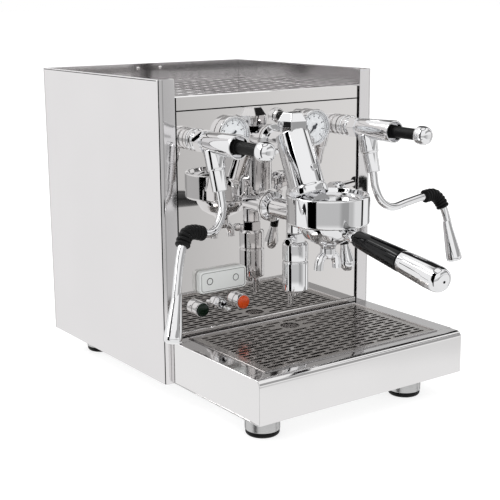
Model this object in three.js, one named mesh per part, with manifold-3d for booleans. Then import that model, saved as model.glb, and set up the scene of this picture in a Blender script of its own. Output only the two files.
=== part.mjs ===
// A two-valve espresso machine with a thermosyphon brew group, in millimetres, +Z up.
// X runs to the operator's right, -Y towards the operator. The feet stand on Z = 0.
import * as THREE from "three";
import { mergeVertices } from "three/addons/utils/BufferGeometryUtils.js";
import Module from "manifold-3d";

const wasm = await Module();
wasm.setup();

// ---------------------------------------------------------------- driving dimensions
const gap = 0.3; // clearance left between pieces that touch
const sheet = 1.5; // steel sheet of the housing
const stripReturn = 12; // depth of the fold behind each front strip

const body = { width: 322, depth: 303, bottom: 31, top: 396, cornerRadius: 6, stripWidth: 21, hem: 3 };
const panel = { inset: 3, bottom: 93, top: 358 };
const fascia = { height: 15, fold: 14 };
const cupTray = { drop: 6, slotLength: 50, slotWidth: 6, slotRows: 4, slotColumns: 10 };
const chassis = { thickness: 3, backWallTop: 88 };
const tray = { width: 306, depth: 181, height: 51.7, rimSide: 22, rimFront: 19.5, rimBack: 4, edgeRadius: 8 };
const grid = { thickness: 1.5, seat: 3, slotLength: 24, slotWidth: 6, pitchX: 32, pitchY: 15, margin: 6 };
const fingerHole = { radius: 14, y: -35 };
const foot = { radius: 20.5, padHeight: 6, padRadius: 19, x: 110, frontY: -127, rearY: body.depth - 41 };

const portafilter = { radius: 35, rimTop: 243, waist: 223, floor: 203, wall: 3, lugReach: 3.6, lugWidth: 20,
  unlockTurn: 45 };
const lugRadius = portafilter.radius + portafilter.lugReach;
const bell = { y: -108, radius: portafilter.radius + 14, top: 263, bottom: 229, lip: 4, dish: 7 };
const cavity = { radius: lugRadius + 0.9, ledgeRadius: portafilter.radius + 2, ledge: 4, roof: 252 };
const screen = { radius: portafilter.radius - 7.5, height: 10, thickness: 2, gasketHeight: 8.5 };
const cap = { radius: 20, faceHeight: 13, chamfer: 10, topRadius: 13, turn: -12 };
const neck = { topY: -37, topZ: 330, bottomY: -71, bottomZ: 261, topRadius: 21, bottomRadius: 22 };
const camAxis = { y: -54, z: 252, radius: 16, left: -11, right: 27 };
const stem = { x: 12, y: -40, radius: 16.5, bottom: 247, top: 322 };
const arm = { radius: 12, upperZ: 316, lowerZ: 232, reach: 12 };
const chamber = { x: 2, y: -43, radius: 16, top: 206, bottom: 133, nutRadius: 12.5, ringZ: 171 };
const lever = { x: 58, hubRadius: 13, hubWidth: 16, armRadius: 4, length: 99, rest: 14 };

const handle = { socketY: -160, socketZ: 219, tilt: 9.3, gripLength: 76, capLength: 64, startRadius: 9.7,
  endRadius: 13 };
const spout = { z: 201, span: 14, drop: 25, radius: 5.5 };

const valve = { x: 116, z: 325.5, mouthY: -94, mouthRadius: 14, waistRadius: 11, nutRadius: 13.5 };
const outlet = { y: -40, tilt: 16, topRadius: 12, endRadius: 9, length: 57 };
const joystick = { pivotY: -78, gripRadius: 7, ballRadius: 11.5, ballY: -141 };
const wand = { radius: 5, gripRadius: 8.2, nozzleRadius: 10, nozzleLength: 52 };
const gauge = { x: 62, z: 327, radius: 23, dialRadius: 20, height: 11, canDepth: 26 };
const lamp = { z: 119, greenX: -112, orangeX: -52, radius: 8.5, lensRadius: 7.3, height: 10 };
const toggle = { x: -82, z: 121, bushRadius: 6.5, bushLength: 9, leverLength: 15, rest: 12 };
const housing = { x: -80.5, z: 152, width: 70, height: 29, depth: 8.5, corner: 5, buttonSpan: 38,
  buttonRadius: 3.2 };

const boiler = { y: 128, z: 225, radius: 60, length: 190, wall: 1.5 };
const tank = { left: -150, width: 120, behindBoiler: 9.5, beforeBack: 12, bottom: 150, top: 352, wall: 2.5 };
const inlet = { x: -100, z: 80, width: 30, height: 24, depth: 26, flange: 4 };
const controlBox = { left: 60, right: 150, depth: 80, beforeBack: 13, bottom: 60, top: 150 };
const pumpPlace = { x: -70, beforeBack: 71, axisHeight: 36 };

// Radii of the shanks that pass through the front panel.
const valveShank = 8;
const gaugeCan = 19;
const lampShank = 5;
const toggleShank = 4;

// Faces that several pieces line up with.
const panelFace = panel.inset;
const panelBack = panelFace + sheet;
const innerHalf = body.width / 2 - body.stripWidth;
const fasciaBottom = panel.top + 1.5;
const fasciaTop = fasciaBottom + fascia.height;
const trayFloor = fasciaTop - cupTray.drop;
const trayBottom = body.bottom + chassis.thickness + gap;
const trayTop = trayBottom + tray.height;

// ---------------------------------------------------------------- shape helpers
const radians = THREE.MathUtils.degToRad;

function toSolid(geometry) {
  const bare = geometry.index ? geometry.toNonIndexed() : geometry.clone();
  bare.deleteAttribute("normal");
  bare.deleteAttribute("uv");
  const merged = mergeVertices(bare, 1e-4);
  return new wasm.Manifold(new wasm.Mesh({
    numProp: 3,
    vertProperties: merged.attributes.position.array,
    triVerts: new Uint32Array(merged.index.array),
  }));
}

function fromSolid(solid) {
  const mesh = solid.getMesh();
  const geometry = new THREE.BufferGeometry();
  geometry.setAttribute("position", new THREE.BufferAttribute(mesh.vertProperties, 3));
  geometry.setIndex(new THREE.BufferAttribute(mesh.triVerts, 1));
  return geometry;
}

// Joins the shapes in `kept` and takes away the shapes in `removed`.
function combine(kept, removed = []) {
  let solid = toSolid(kept[0]);
  for (const piece of kept.slice(1)) solid = solid.add(toSolid(piece));
  for (const piece of removed) solid = solid.subtract(toSolid(piece));
  return fromSolid(solid);
}

function block(x0, x1, y0, y1, z0, z1) {
  const geometry = new THREE.BoxGeometry(x1 - x0, y1 - y0, z1 - z0);
  return geometry.translate((x0 + x1) / 2, (y0 + y1) / 2, (z0 + z1) / 2);
}

// A profile of [radius, height] points turned about Z, listed from the bottom to the top.
function turned(profile, sides = 16) {
  const points = profile.map(([r, z]) => new THREE.Vector2(r, z));
  return new THREE.LatheGeometry(points, sides).rotateX(Math.PI / 2);
}

// The same, turned about Y: heights run along -Y, towards the operator.
function turnedForward(profile, sides = 16) {
  return turned(profile, sides).rotateX(Math.PI / 2);
}

// The same, turned about X: heights run along +X.
function turnedAcross(profile, sides = 16) {
  return turned(profile, sides).rotateY(Math.PI / 2);
}

function disc(radius, z0, z1, sides = 16) {
  return turned([[0, z0], [radius, z0], [radius, z1], [0, z1]], sides);
}

function roundedOutline(width, height, radius) {
  const x = width / 2 - radius;
  const y = height / 2 - radius;
  const shape = new THREE.Shape();
  shape.absarc(x, y, radius, 0, Math.PI / 2);
  shape.absarc(-x, y, radius, Math.PI / 2, Math.PI);
  shape.absarc(-x, -y, radius, Math.PI, Math.PI * 1.5);
  shape.absarc(x, -y, radius, Math.PI * 1.5, Math.PI * 2);
  return shape;
}

function slab(shape, thickness, segments = 4) {
  return new THREE.ExtrudeGeometry(shape, { depth: thickness, bevelEnabled: false, curveSegments: segments });
}

// An outline in X and Z, pushed back from y0 to y1.
function upright(shape, y0, y1, segments = 4) {
  return slab(shape, y1 - y0, segments).rotateX(Math.PI / 2).translate(0, y1, 0);
}

function ringShape(outer, inner) {
  const shape = new THREE.Shape().absarc(0, 0, outer, 0, Math.PI * 2);
  if (inner) shape.holes.push(new THREE.Path().absarc(0, 0, inner, 0, Math.PI * 2, true));
  return shape;
}

// A round bar, or a tube with the given bore, swept along a curve.
function swept(curve, radius, bore = 0, steps = 24, segments = 5) {
  return new THREE.ExtrudeGeometry(ringShape(radius, bore), {
    extrudePath: curve,
    steps,
    curveSegments: segments,
    bevelEnabled: false,
  });
}

// Straight runs through the points, with each corner rounded over `bend`.
function bentPath(points, bend) {
  const corners = points.map((p) => new THREE.Vector3(...p));
  const path = new THREE.CurvePath();
  let start = corners[0];
  for (let i = 1; i < corners.length - 1; i++) {
    const before = corners[i].clone().add(corners[i - 1].clone().sub(corners[i]).setLength(bend));
    const after = corners[i].clone().add(corners[i + 1].clone().sub(corners[i]).setLength(bend));
    path.add(new THREE.LineCurve3(start, before));
    path.add(new THREE.QuadraticBezierCurve3(before, corners[i], after));
    start = after;
  }
  path.add(new THREE.LineCurve3(start, corners[corners.length - 1]));
  return path;
}

// ---------------------------------------------------------------- finishes
function finish(color, roughness, metalness) {
  return { color, roughness, metalness };
}

const polished = finish(0xd6d4d3, 0.06, 1);
const satin = finish(0xe2e0e1, 0.3, 0.9);
const chromed = finish(0xe8e8ea, 0.05, 1);
const brushed = finish(0xb9b9ba, 0.35, 1);
const blackGloss = finish(0x0c0c0d, 0.2, 0);
const blackRubber = finish(0x1b1b1c, 0.8, 0);
const copper = finish(0xb87348, 0.35, 1);
const brass = finish(0xc2a15a, 0.35, 1);
const blackPlastic = finish(0x202123, 0.5, 0);
const clearPlastic = finish(0xcfd6da, 0.25, 0);
const dialWhite = finish(0xf2f3f5, 0.4, 0);
const greenGlass = finish(0x0f3a1c, 0.1, 0);
const orangeGlass = finish(0xd0551a, 0.1, 0);

function addPiece(group, name, geometry, look) {
  const material = new THREE.MeshStandardMaterial(look);
  const mesh = new THREE.Mesh(geometry, material);
  mesh.name = name;
  group.add(mesh);
  return mesh;
}

function addGroup(parent, x, y, z) {
  const group = new THREE.Group();
  group.position.set(x, y, z);
  parent.add(group);
  return group;
}

const machine = new THREE.Group();

// ---------------------------------------------------------------- housing
// One side: front strip, rounded corner and side wall bent from one sheet, with a hem along the top.
function sidePanel() {
  const half = body.width / 2;
  const inner = half - sheet;
  const end = body.depth - sheet - gap;
  const r = body.cornerRadius;
  const outline = new THREE.Shape();
  outline.moveTo(half - r, 0);
  outline.absarc(half - r, r, r, -Math.PI / 2, 0);
  outline.lineTo(half, end);
  outline.lineTo(inner, end);
  outline.lineTo(inner, r);
  outline.absarc(half - r, r, r - sheet, 0, -Math.PI / 2, true);
  outline.lineTo(innerHalf + sheet, sheet);
  outline.lineTo(innerHalf + sheet, stripReturn);
  outline.lineTo(innerHalf, stripReturn);
  outline.lineTo(innerHalf, 0);
  const wall = slab(outline, body.top - body.bottom, 6).translate(0, 0, body.bottom);
  const hem = block(half - body.hem, inner + 0.5, stripReturn + gap, end, body.top - sheet, body.top);
  return combine([wall, hem]);
}

function addHousing() {
  const right = addPiece(machine, "right_side_panel", sidePanel(), satin);
  const left = addPiece(machine, "left_side_panel", right.geometry.clone(), satin);
  left.scale.x = -1;
  addPiece(machine, "rear_panel", rearPanel(), satin);
  addPiece(machine, "front_panel", frontPanel(), polished);
  addPiece(machine, "top_fascia", topFascia(), polished);
  addPiece(machine, "cup_tray", cupTrayPlate(), polished);
  addPiece(machine, "base_frame", baseFrame(), brushed);
}

function rearPanel() {
  const half = body.width / 2;
  const back = body.depth;
  const plate = block(-half, half, back - sheet, back, body.bottom, body.top);
  const hem = block(
    -half + body.hem + gap, half - body.hem - gap, back - sheet - body.hem, back - sheet,
      body.top - sheet, body.top);
  const cuts = [];
  for (let row = 0; row < 6; row++) {
    for (const x of [-60, 60]) {
      const z = 130 + row * 16;
      cuts.push(block(x - 35, x + 35, back - 5, back + 5, z - 2, z + 2));
    }
  }
  const socket = roundedOutline(inlet.width + 2 * gap, inlet.height + 2 * gap, 3);
  cuts.push(upright(socket, back - 5, back + 5).translate(inlet.x, 0, inlet.z));
  return combine([plate, hem], cuts);
}

function frontPanel() {
  const half = innerHalf - 1;
  const plate = block(-half, half, panelFace, panelBack, panel.bottom, panel.top);
  const sides = [-1, 1].map((side) => block(
    side > 0 ? half - sheet : -half, side > 0 ? half : -half + sheet, panelFace, panelFace + 9,
      panel.bottom, panel.top));
  const hole = (radius, x, z) =>
    turnedForward([[0, -20], [radius, -20], [radius, 20], [0, 20]], 18).translate(x, 0, z);
  const holes = [
    hole(arm.radius + gap, 0, arm.upperZ),
    hole(arm.radius + gap, 0, arm.lowerZ),
    hole(valveShank + gap, -valve.x, valve.z),
    hole(valveShank + gap, valve.x, valve.z),
    hole(gaugeCan + gap, -gauge.x, gauge.z),
    hole(gaugeCan + gap, gauge.x, gauge.z),
    hole(lampShank + gap, lamp.greenX, lamp.z),
    hole(lampShank + gap, lamp.orangeX, lamp.z),
    hole(toggleShank + gap, toggle.x, toggle.z),
  ];
  return combine([plate, ...sides], holes);
}

function topFascia() {
  const half = innerHalf - 1.2;
  const face = block(-half, half, panelFace, panelBack, fasciaBottom, fasciaTop);
  const fold = block(-half, half, panelFace, panelFace + fascia.fold, fasciaTop - sheet, fasciaTop);
  return combine([face, fold]);
}

function cupTrayPlate() {
  const half = body.width / 2 - body.hem - 1;
  const front = panelFace + fascia.fold + 1;
  const back = body.depth - sheet - body.hem - 1;
  const plate = block(-half, half, front, back, trayFloor - sheet, trayFloor);
  const skirt = combine(
    [block(-half, half, front, back, trayFloor - 14, trayFloor - sheet / 2)],
    [block(-half + sheet, half - sheet, front + sheet, back - sheet, trayFloor - 20, trayFloor + 5)]);
  const cuts = [];
  const pitchX = (2 * half - 16) / cupTray.slotRows;
  const pitchY = (back - front - 30) / cupTray.slotColumns;
  for (let row = 0; row < cupTray.slotRows; row++) {
    for (let column = 0; column < cupTray.slotColumns; column++) {
      const x = (row - (cupTray.slotRows - 1) / 2) * pitchX;
      const y = front + 15 + (column + 0.5) * pitchY;
      cuts.push(block(x - cupTray.slotLength / 2, x + cupTray.slotLength / 2, y - cupTray.slotWidth / 2,
        y + cupTray.slotWidth / 2, trayFloor - 6, trayFloor + 1));
    }
  }
  return combine([plate, skirt], cuts);
}

// The chassis plate runs out under the drip tray, and its back wall closes the housing behind the tray.
function baseFrame() {
  const half = body.width / 2 - sheet - gap;
  const z0 = body.bottom;
  const z1 = z0 + chassis.thickness;
  const rear = block(-half, half, stripReturn + gap, body.depth - sheet - gap, z0, z1);
  const trayHalf = tray.width / 2 - 4;
  const front = block(-innerHalf + 2, innerHalf - 2, -10, 20, z0, z1);
  const platform = block(-trayHalf, trayHalf, -tray.depth + 8, -gap, z0, z1);
  const wall = block(-innerHalf + 2, innerHalf - 2, panelBack + 1, panelBack + 1 + sheet, z0,
    chassis.backWallTop);
  const rails = [-1, 1].map((side) => block(side * 70 - 12, side * 70 + 12, 30, body.depth - 20, z1 - 0.5,
    z1 + 12));
  return combine([rear, platform, front, wall, ...rails]);
}

// ---------------------------------------------------------------- feet
function addFeet() {
  const places = {
    front_left: [-foot.x, foot.frontY],
    front_right: [foot.x, foot.frontY],
    rear_left: [-foot.x, foot.rearY],
    rear_right: [foot.x, foot.rearY],
  };
  const top = body.bottom - gap;
  const steel = turned([
    [0, foot.padHeight + gap], [foot.radius - 1, foot.padHeight + gap], [foot.radius, foot.padHeight + 1.3],
    [foot.radius, top - 1], [foot.radius - 1, top], [0, top]]);
  const pad = turned([
    [0, 0], [foot.padRadius - 1, 0], [foot.padRadius, 1], [foot.padRadius, foot.padHeight],
      [0, foot.padHeight]]);
  for (const [corner, [x, y]] of Object.entries(places)) {
    const group = addGroup(machine, x, y, 0);
    addPiece(group, `foot_${corner}`, steel, brushed);
    addPiece(group, `foot_pad_${corner}`, pad, blackRubber);
  }
}

// ---------------------------------------------------------------- drip tray
const gridHalf = tray.width / 2 - tray.rimSide;
const gridFront = -tray.depth + tray.rimFront;
const gridBack = -gap - tray.rimBack;

function dripTray() {
  const half = tray.width / 2;
  const back = -gap;
  const front = -tray.depth;
  const z0 = trayBottom;
  const r = tray.edgeRadius;
  const profile = new THREE.Shape();
  profile.moveTo(back, z0);
  profile.lineTo(back, trayTop);
  profile.lineTo(front + r, trayTop);
  profile.absarc(front + r, trayTop - r, r, Math.PI / 2, Math.PI);
  profile.lineTo(front, z0);
  const outer = slab(profile, 2 * half, 6).rotateX(Math.PI / 2).rotateZ(Math.PI / 2).translate(-half, 0, 0);
  const lift = 4;
  const basin = block(
    -gridHalf + grid.seat, gridHalf - grid.seat, gridFront + grid.seat, gridBack - grid.seat, z0 + lift,
      trayTop + 5);
  const seat = block(-gridHalf, gridHalf, gridFront, gridBack, trayTop - grid.thickness - gap, trayTop + 5);
  const wall = grid.seat + 2 * sheet;
  const apron = combine(
    [block(-half + sheet, half - sheet, front + sheet, back - sheet, z0 - 5, trayTop - r)],
    [block(-gridHalf + grid.seat - sheet, gridHalf - grid.seat + sheet, gridFront + grid.seat - sheet,
      gridBack - grid.seat + sheet, z0 - 6, trayTop + 1),
    block(-half - 1, half + 1, gridBack - wall, back + 1, z0 - 6, trayTop)]);
  return combine([outer], [basin, seat, apron]);
}

function dripGrid() {
  const z0 = trayTop - grid.thickness;
  const plate = block(-gridHalf + gap, gridHalf - gap, gridFront + gap, gridBack - gap, z0, trayTop);
  const cuts = [disc(fingerHole.radius, z0 - 1, trayTop + 1, 24).translate(0, fingerHole.y, 0)];
  const rows = Math.floor((gridBack - gridFront - 2 * grid.margin) / grid.pitchY);
  const columns = Math.floor((2 * gridHalf - 2 * grid.margin) / grid.pitchX);
  for (let row = 0; row < rows; row++) {
    const y = (gridFront + gridBack) / 2 + (row - (rows - 1) / 2) * grid.pitchY;
    const count = columns - (row % 2);
    for (let column = 0; column < count; column++) {
      const x = (column - (count - 1) / 2) * grid.pitchX;
      const clear = fingerHole.radius + grid.slotLength / 2 + 2;
      if (Math.hypot(x, y - fingerHole.y) < clear) continue;
      cuts.push(block(x - grid.slotLength / 2, x + grid.slotLength / 2, y - grid.slotWidth / 2,
        y + grid.slotWidth / 2, z0 - 1, trayTop + 1));
    }
  }
  return combine([plate], cuts);
}

// ---------------------------------------------------------------- brew group
function slanted(yTop, zTop, yBottom, zBottom, geometry) {
  const angle = Math.atan2(yTop - yBottom, zTop - zBottom);
  return geometry.rotateX(-angle).translate(0, yBottom, zBottom);
}

function groupBody() {
  const neckLength = Math.hypot(neck.topY - neck.bottomY, neck.topZ - neck.bottomZ);
  const neckShape = slanted(neck.topY, neck.topZ, neck.bottomY, neck.bottomZ, turned([
    [0, -6], [neck.bottomRadius + 1.5, -6], [neck.bottomRadius + 1.5, 3], [neck.bottomRadius, 5],
    [neck.topRadius, neckLength + 12], [0, neckLength + 12]], 20));
  const aboveNeck = block(-60, 60, -120, 60, neck.topZ - gap, neck.topZ + 60);
  const { radius, lip, dish, top, bottom } = bell;
  const bellShape = turned([
    [0, cavity.roof - 4], [radius - 6, cavity.roof - 4], [radius - 5, bottom], [radius - 2, bottom],
      [radius, bottom + 3],
    [radius, top - 2], [radius - 1, top], [radius - lip, top], [radius - lip - 2, top - dish],
      [0, top - dish + 3],
  ], 20).translate(0, bell.y, 0);
  const ledge = combine(
    [turned([[cavity.ledgeRadius, bottom], [radius - 3, bottom], [radius - 3, bottom + cavity.ledge],
      [cavity.ledgeRadius, bottom + cavity.ledge], [cavity.ledgeRadius, bottom]], 20).translate(0, bell.y,
        0)],
    [lugWindow()]);
  const inside = turned([
    [0, bottom - 2], [cavity.radius, bottom - 2], [cavity.radius, cavity.roof], [0, cavity.roof]], 20)
    .translate(0, bell.y, 0);
  const camBox = turnedAcross([
    [0, camAxis.left], [camAxis.radius - 2, camAxis.left], [camAxis.radius, camAxis.left + 2],
    [camAxis.radius, camAxis.right], [13, camAxis.right], [13, camAxis.right + 10], [11, camAxis.right + 13],
    [0, camAxis.right + 13]], 18).translate(0, camAxis.y, camAxis.z);
  const camBore = turnedAcross([[0, 0], [6.4, 0], [6.4, 60], [0, 60]], 18).translate(5, camAxis.y, camAxis.z);
  const rearStem = disc(stem.radius, stem.bottom, stem.top, 32).translate(stem.x, stem.y, 0);
  const lowerStem = disc(11, chamber.top + gap, camAxis.z, 32).translate(chamber.x, chamber.y, 0);
  const upperArm = groupArm(arm.upperZ);
  const lowerArm = groupArm(arm.lowerZ);
  const plug = slanted(neck.topY, neck.topZ, neck.bottomY, neck.bottomZ, turnedForward([
    [0, 10], [4.2, 10], [4.2, neck.bottomRadius + 2], [3.2, neck.bottomRadius + 3],
      [0, neck.bottomRadius + 3]], 16)
    .translate(0, 0, 0.3 * neckLength));
  const casting = combine(
    [neckShape, bellShape, camBox, rearStem, lowerStem, upperArm, lowerArm, plug],
      [camBore, inside, aboveNeck]);
  return combine([casting, ledge]);
}

// Two openings in the bell's ledge, which the portafilter's lugs pass when it is turned out.
function lugWindow() {
  const half = portafilter.lugWidth / 2 + 2;
  const window = block(-bell.radius, bell.radius, -half, half, bell.bottom - 1,
    bell.bottom + cavity.ledge + 1);
  return window.rotateZ(radians(-portafilter.unlockTurn)).translate(0, bell.y, 0);
}

function groupArm(z) {
  const flange = 4;
  const start = -(panelFace - gap);
  return turnedForward([
    [0, -arm.reach], [arm.radius, -arm.reach], [arm.radius, start], [arm.radius + 7, start],
    [arm.radius + 7, start + flange], [arm.radius, start + flange + 2], [arm.radius, -camAxis.y - 8],
    [0, -camAxis.y - 8]], 18).translate(0, 0, z);
}

function hexCap() {
  const { radius, faceHeight, chamfer, topRadius } = cap;
  const shape = turned([
    [0, 0], [radius, 0], [radius, faceHeight], [topRadius, faceHeight + chamfer],
      [0, faceHeight + chamfer]], 6);
  return shape.rotateZ(radians(cap.turn)).translate(0, neck.topY - 3, neck.topZ);
}

function lowerChamber() {
  const { radius, top, bottom, nutRadius, ringZ } = chamber;
  const hexNut = turned([[0, top - 11], [nutRadius, top - 11], [nutRadius, top], [0, top]], 6);
  const tube = turned([
    [0, bottom - 6], [7.5, bottom - 6], [9, bottom], [radius - 1.5, bottom], [radius, bottom + 2],
      [radius, ringZ - 1.5],
    [radius - 1, ringZ - 1], [radius - 1, ringZ + 1], [radius, ringZ + 1.5], [radius, top - 13],
    [radius - 2, top - 10.5], [0, top - 10.5]], 20);
  const nipple = turned([[0, bottom - 20], [3.5, bottom - 20], [4.5, bottom - 5], [4.5, bottom + 1],
    [0, bottom + 1]], 18)
    .translate(0, 9, 0);
  const elbow = turnedForward([[0, 0], [4, 0], [4, radius + 7], [0, radius + 7]], 16)
    .rotateZ(radians(-62)).translate(0, 0, top - 8);
  return combine([hexNut, tube, nipple, elbow]).translate(chamber.x, chamber.y, 0);
}

function brewLever() {
  const hubStart = lever.x - lever.hubWidth / 2;
  const hub = turnedAcross([
    [0, 12], [6, 12], [6, hubStart], [lever.hubRadius, hubStart],
      [lever.hubRadius, hubStart + lever.hubWidth - 3],
    [lever.hubRadius - 3, hubStart + lever.hubWidth], [0, hubStart + lever.hubWidth]], 18);
  const bar = turned([
    [0, -lever.length], [5, -lever.length + 1], [8.5, -lever.length + 6], [9.5, -lever.length + 11],
    [6.5, -lever.length + 27], [5, -lever.length + 34], [lever.armRadius, -lever.length + 34],
      [lever.armRadius, 0],
    [0, 0]], 18).rotateX(radians(-lever.rest)).translate(lever.x, 0, 0);
  return combine([hub, bar]).translate(0, camAxis.y, camAxis.z);
}

function gasket() {
  const inner = screen.radius + 0.5;
  const outer = cavity.radius - gap;
  const low = cavity.roof - screen.gasketHeight;
  const high = cavity.roof - gap;
  return turned([[inner, low], [outer, low], [outer, high], [inner, high], [inner, low]], 20).translate(0,
    bell.y, 0);
}

function showerScreen() {
  const { radius, height, thickness } = screen;
  const low = cavity.roof - height;
  const high = cavity.roof - gap;
  return turned([[0, low], [radius - 1.5, low], [radius, low + thickness], [radius, high],
    [radius - 7.5, high],
    [radius - 7.5, low + thickness], [0, low + thickness]], 18).translate(0, bell.y, 0);
}

function addGroup58() {
  addPiece(machine, "group_body", groupBody(), chromed);
  addPiece(machine, "group_cap", hexCap(), chromed);
  addPiece(machine, "lower_chamber", lowerChamber(), chromed);
  addPiece(machine, "brew_lever", brewLever(), chromed);
  addPiece(machine, "group_gasket", gasket(), blackRubber);
  addPiece(machine, "shower_screen", showerScreen(), brushed);
}

// ---------------------------------------------------------------- portafilter
function portafilterBody() {
  const { radius, rimTop, waist, floor, wall, lugWidth } = portafilter;
  const cup = turned([
    [0, floor - 4], [9, floor - 4], [11, floor], [radius - 17, floor + 3], [radius - 7, floor + 9],
    [radius - 2, waist - 3], [radius, waist + 2], [radius, rimTop], [radius - wall, rimTop],
    [radius - wall, waist + 1], [radius - 11, floor + 9], [5, floor + 4], [0, floor + 4]], 20);
  const outletHole = disc(3.2, floor - 8, floor + 8, 16);
  const lugBottom = bell.bottom + cavity.ledge + gap;
  const collar = turned([[radius - 1, lugBottom], [lugRadius, lugBottom], [lugRadius, lugBottom + 5],
    [radius - 1, lugBottom + 5], [radius - 1, lugBottom]], 24);
  const beside = [-1, 1].map((side) => {
    const y = side * (lugWidth / 2 + lugRadius);
    return block(-2 * radius, 2 * radius, y - lugRadius, y + lugRadius, lugBottom - 1, lugBottom + 6);
  });
  const length = bell.y - handle.socketY;
  const socket = turnedForward([
    [0, radius - 3], [6.4, radius - 3], [6.4, 40], [8, 42], [8, 49], [7, length - gap], [4, length - gap],
    [4, length + 28], [0, length + 28]], 18);
  socket.translate(0, length, 0).rotateX(radians(handle.tilt)).translate(0, -length, handle.socketZ);
  const shell = combine([cup, socket], [outletHole, cupHollow()]);
  return combine([shell, combine([collar], beside)]).translate(0, bell.y, 0);
}

// The space inside the cup, kept clear of the handle's socket.
function cupHollow() {
  const { radius, rimTop, waist, floor, wall } = portafilter;
  return turned([[0, floor + 4], [5, floor + 4], [radius - 11, floor + 9], [radius - wall, waist + 1],
    [radius - wall, rimTop + 1], [0, rimTop + 1]], 20);
}

function filterBasket() {
  const { radius, wall, rimTop, waist } = portafilter;
  const outer = radius - wall - 0.6;
  const floor = waist - 5;
  return turned([
    [0, floor], [outer - 4, floor], [outer - 2, floor + 4], [outer, rimTop - 2], [outer, rimTop + gap],
    [radius - 0.5, rimTop + gap], [radius - 0.5, rimTop + 0.5], [outer - 0.8, rimTop + 0.5],
      [outer - 0.8, rimTop - 2],
    [outer - 4.6, floor + 1], [0, floor + 1]], 20).translate(0, bell.y, 0);
}

function doubleSpout() {
  const top = spout.z - 2 - gap;
  const bridge = new THREE.CatmullRomCurve3([
    new THREE.Vector3(-spout.span, 0, -spout.drop),
    new THREE.Vector3(-spout.span + 1.5, 0, -spout.drop + 9),
    new THREE.Vector3(-6, 0, -9),
    new THREE.Vector3(0, 0, -7),
    new THREE.Vector3(6, 0, -9),
    new THREE.Vector3(spout.span - 1.5, 0, -spout.drop + 9),
    new THREE.Vector3(spout.span, 0, -spout.drop),
  ]);
  const arch = swept(bridge, spout.radius, 0, 12, 4);
  const boss = turned([[0, -14], [7, -12], [9, -7], [9, 0], [0, 0]], 18);
  const channels = [-1, 1].map((side) => disc(3, -spout.drop - 4, -spout.drop + 8,
    16).translate(side * spout.span, 0, 0));
  const inflow = disc(3, -9, 1, 16);
  return combine([arch, boss], [...channels, inflow]).translate(0, bell.y, top);
}

// The grip and its end cap lie along the handle's own axis, which drops towards the operator.
function addPortafilter() {
  addPiece(machine, "portafilter", portafilterBody(), chromed);
  addPiece(machine, "filter_basket", filterBasket(), brushed);
  addPiece(machine, "spout", doubleSpout(), chromed);
  const group = addGroup(machine, 0, handle.socketY, handle.socketZ);
  group.rotation.x = radians(handle.tilt);
  const { gripLength, capLength, startRadius, endRadius } = handle;
  const grip = turnedForward([
    [4 + gap, 0], [startRadius - 1.5, 0], [startRadius, 1.5], [startRadius + 1.4, 25], [endRadius - 0.8, 55],
    [endRadius, gripLength], [4 + gap, gripLength], [4 + gap, 0]], 18);
  const capStart = gripLength + gap;
  const capEnd = capStart + capLength;
  const endCap = turnedForward([
    [0, capStart], [endRadius, capStart], [endRadius + 0.3, capStart + 10], [endRadius + 1.6, capEnd - 22],
    [endRadius + 1.4, capEnd - 9], [endRadius - 0.6, capEnd - 3.5], [endRadius - 5, capEnd - 0.8],
      [0, capEnd]], 18);
  addPiece(group, "handle_grip", grip, blackGloss);
  addPiece(group, "handle_cap", endCap, chromed);
}

// ---------------------------------------------------------------- steam and water valves
// Valve pieces are placed about the valve's own axis at the face of the front panel.
function valveBody() {
  const mouth = -valve.mouthY;
  const start = -(panelFace - gap);
  const { nutRadius, waistRadius, mouthRadius } = valve;
  const shell = turnedForward([
    [0, -14], [valveShank, -14], [valveShank, start], [nutRadius, start], [nutRadius, 4],
      [nutRadius - 1.5, 5],
    [nutRadius - 1.5, 7], [nutRadius, 8], [nutRadius, 13], [nutRadius - 2, 15], [waistRadius, 17],
      [waistRadius, 30],
    [waistRadius + 0.8, 36], [mouthRadius - 0.6, 70], [mouthRadius, mouth - 6], [mouthRadius, mouth],
    [mouthRadius - 2, mouth], [mouthRadius - 2.5, mouth - 20], [0, mouth - 20]], 18);
  const hexBody = turnedForward([[0, 17], [14, 17], [14, 30], [0, 30]], 6);
  const { topRadius, endRadius, length, tilt } = outlet;
  const sleeve = turned([
    [0, -length], [endRadius, -length], [endRadius + 0.6, -length + 24], [topRadius - 0.8, -length + 26],
    [topRadius, -9], [0, 0]], 18).rotateX(radians(-tilt)).translate(0, outlet.y, 0);
  const socket = turned([[0, -length - 2], [wand.radius + gap, -length - 2],
    [wand.radius + gap, -length + 14],
    [0, -length + 14]], 18).rotateX(radians(-tilt)).translate(0, outlet.y, 0);
  return combine([shell, hexBody, sleeve], [socket]);
}

function joystickGrip() {
  const y0 = -joystick.pivotY;
  const y1 = -joystick.ballY - joystick.ballRadius + 3;
  const r = joystick.gripRadius;
  return turnedForward([[0, y0], [5.5, y0], [8.4, y0 + 4], [8.4, y0 + 17], [r + 0.6, y0 + 21],
    [r, y0 + 26], [r, y1],
    [0, y1]], 18);
}

function joystickBall() {
  const y0 = -joystick.ballY - joystick.ballRadius + 3 + gap;
  const r = joystick.ballRadius;
  const end = -joystick.ballY + r;
  return turnedForward([
    [0, y0], [r - 4, y0], [r - 1.4, y0 + 2], [r, y0 + 5.5], [r, end - 8], [r - 1.6, end - 3.5],
      [r - 5, end - 0.8],
    [0, end]], 18);
}

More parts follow.
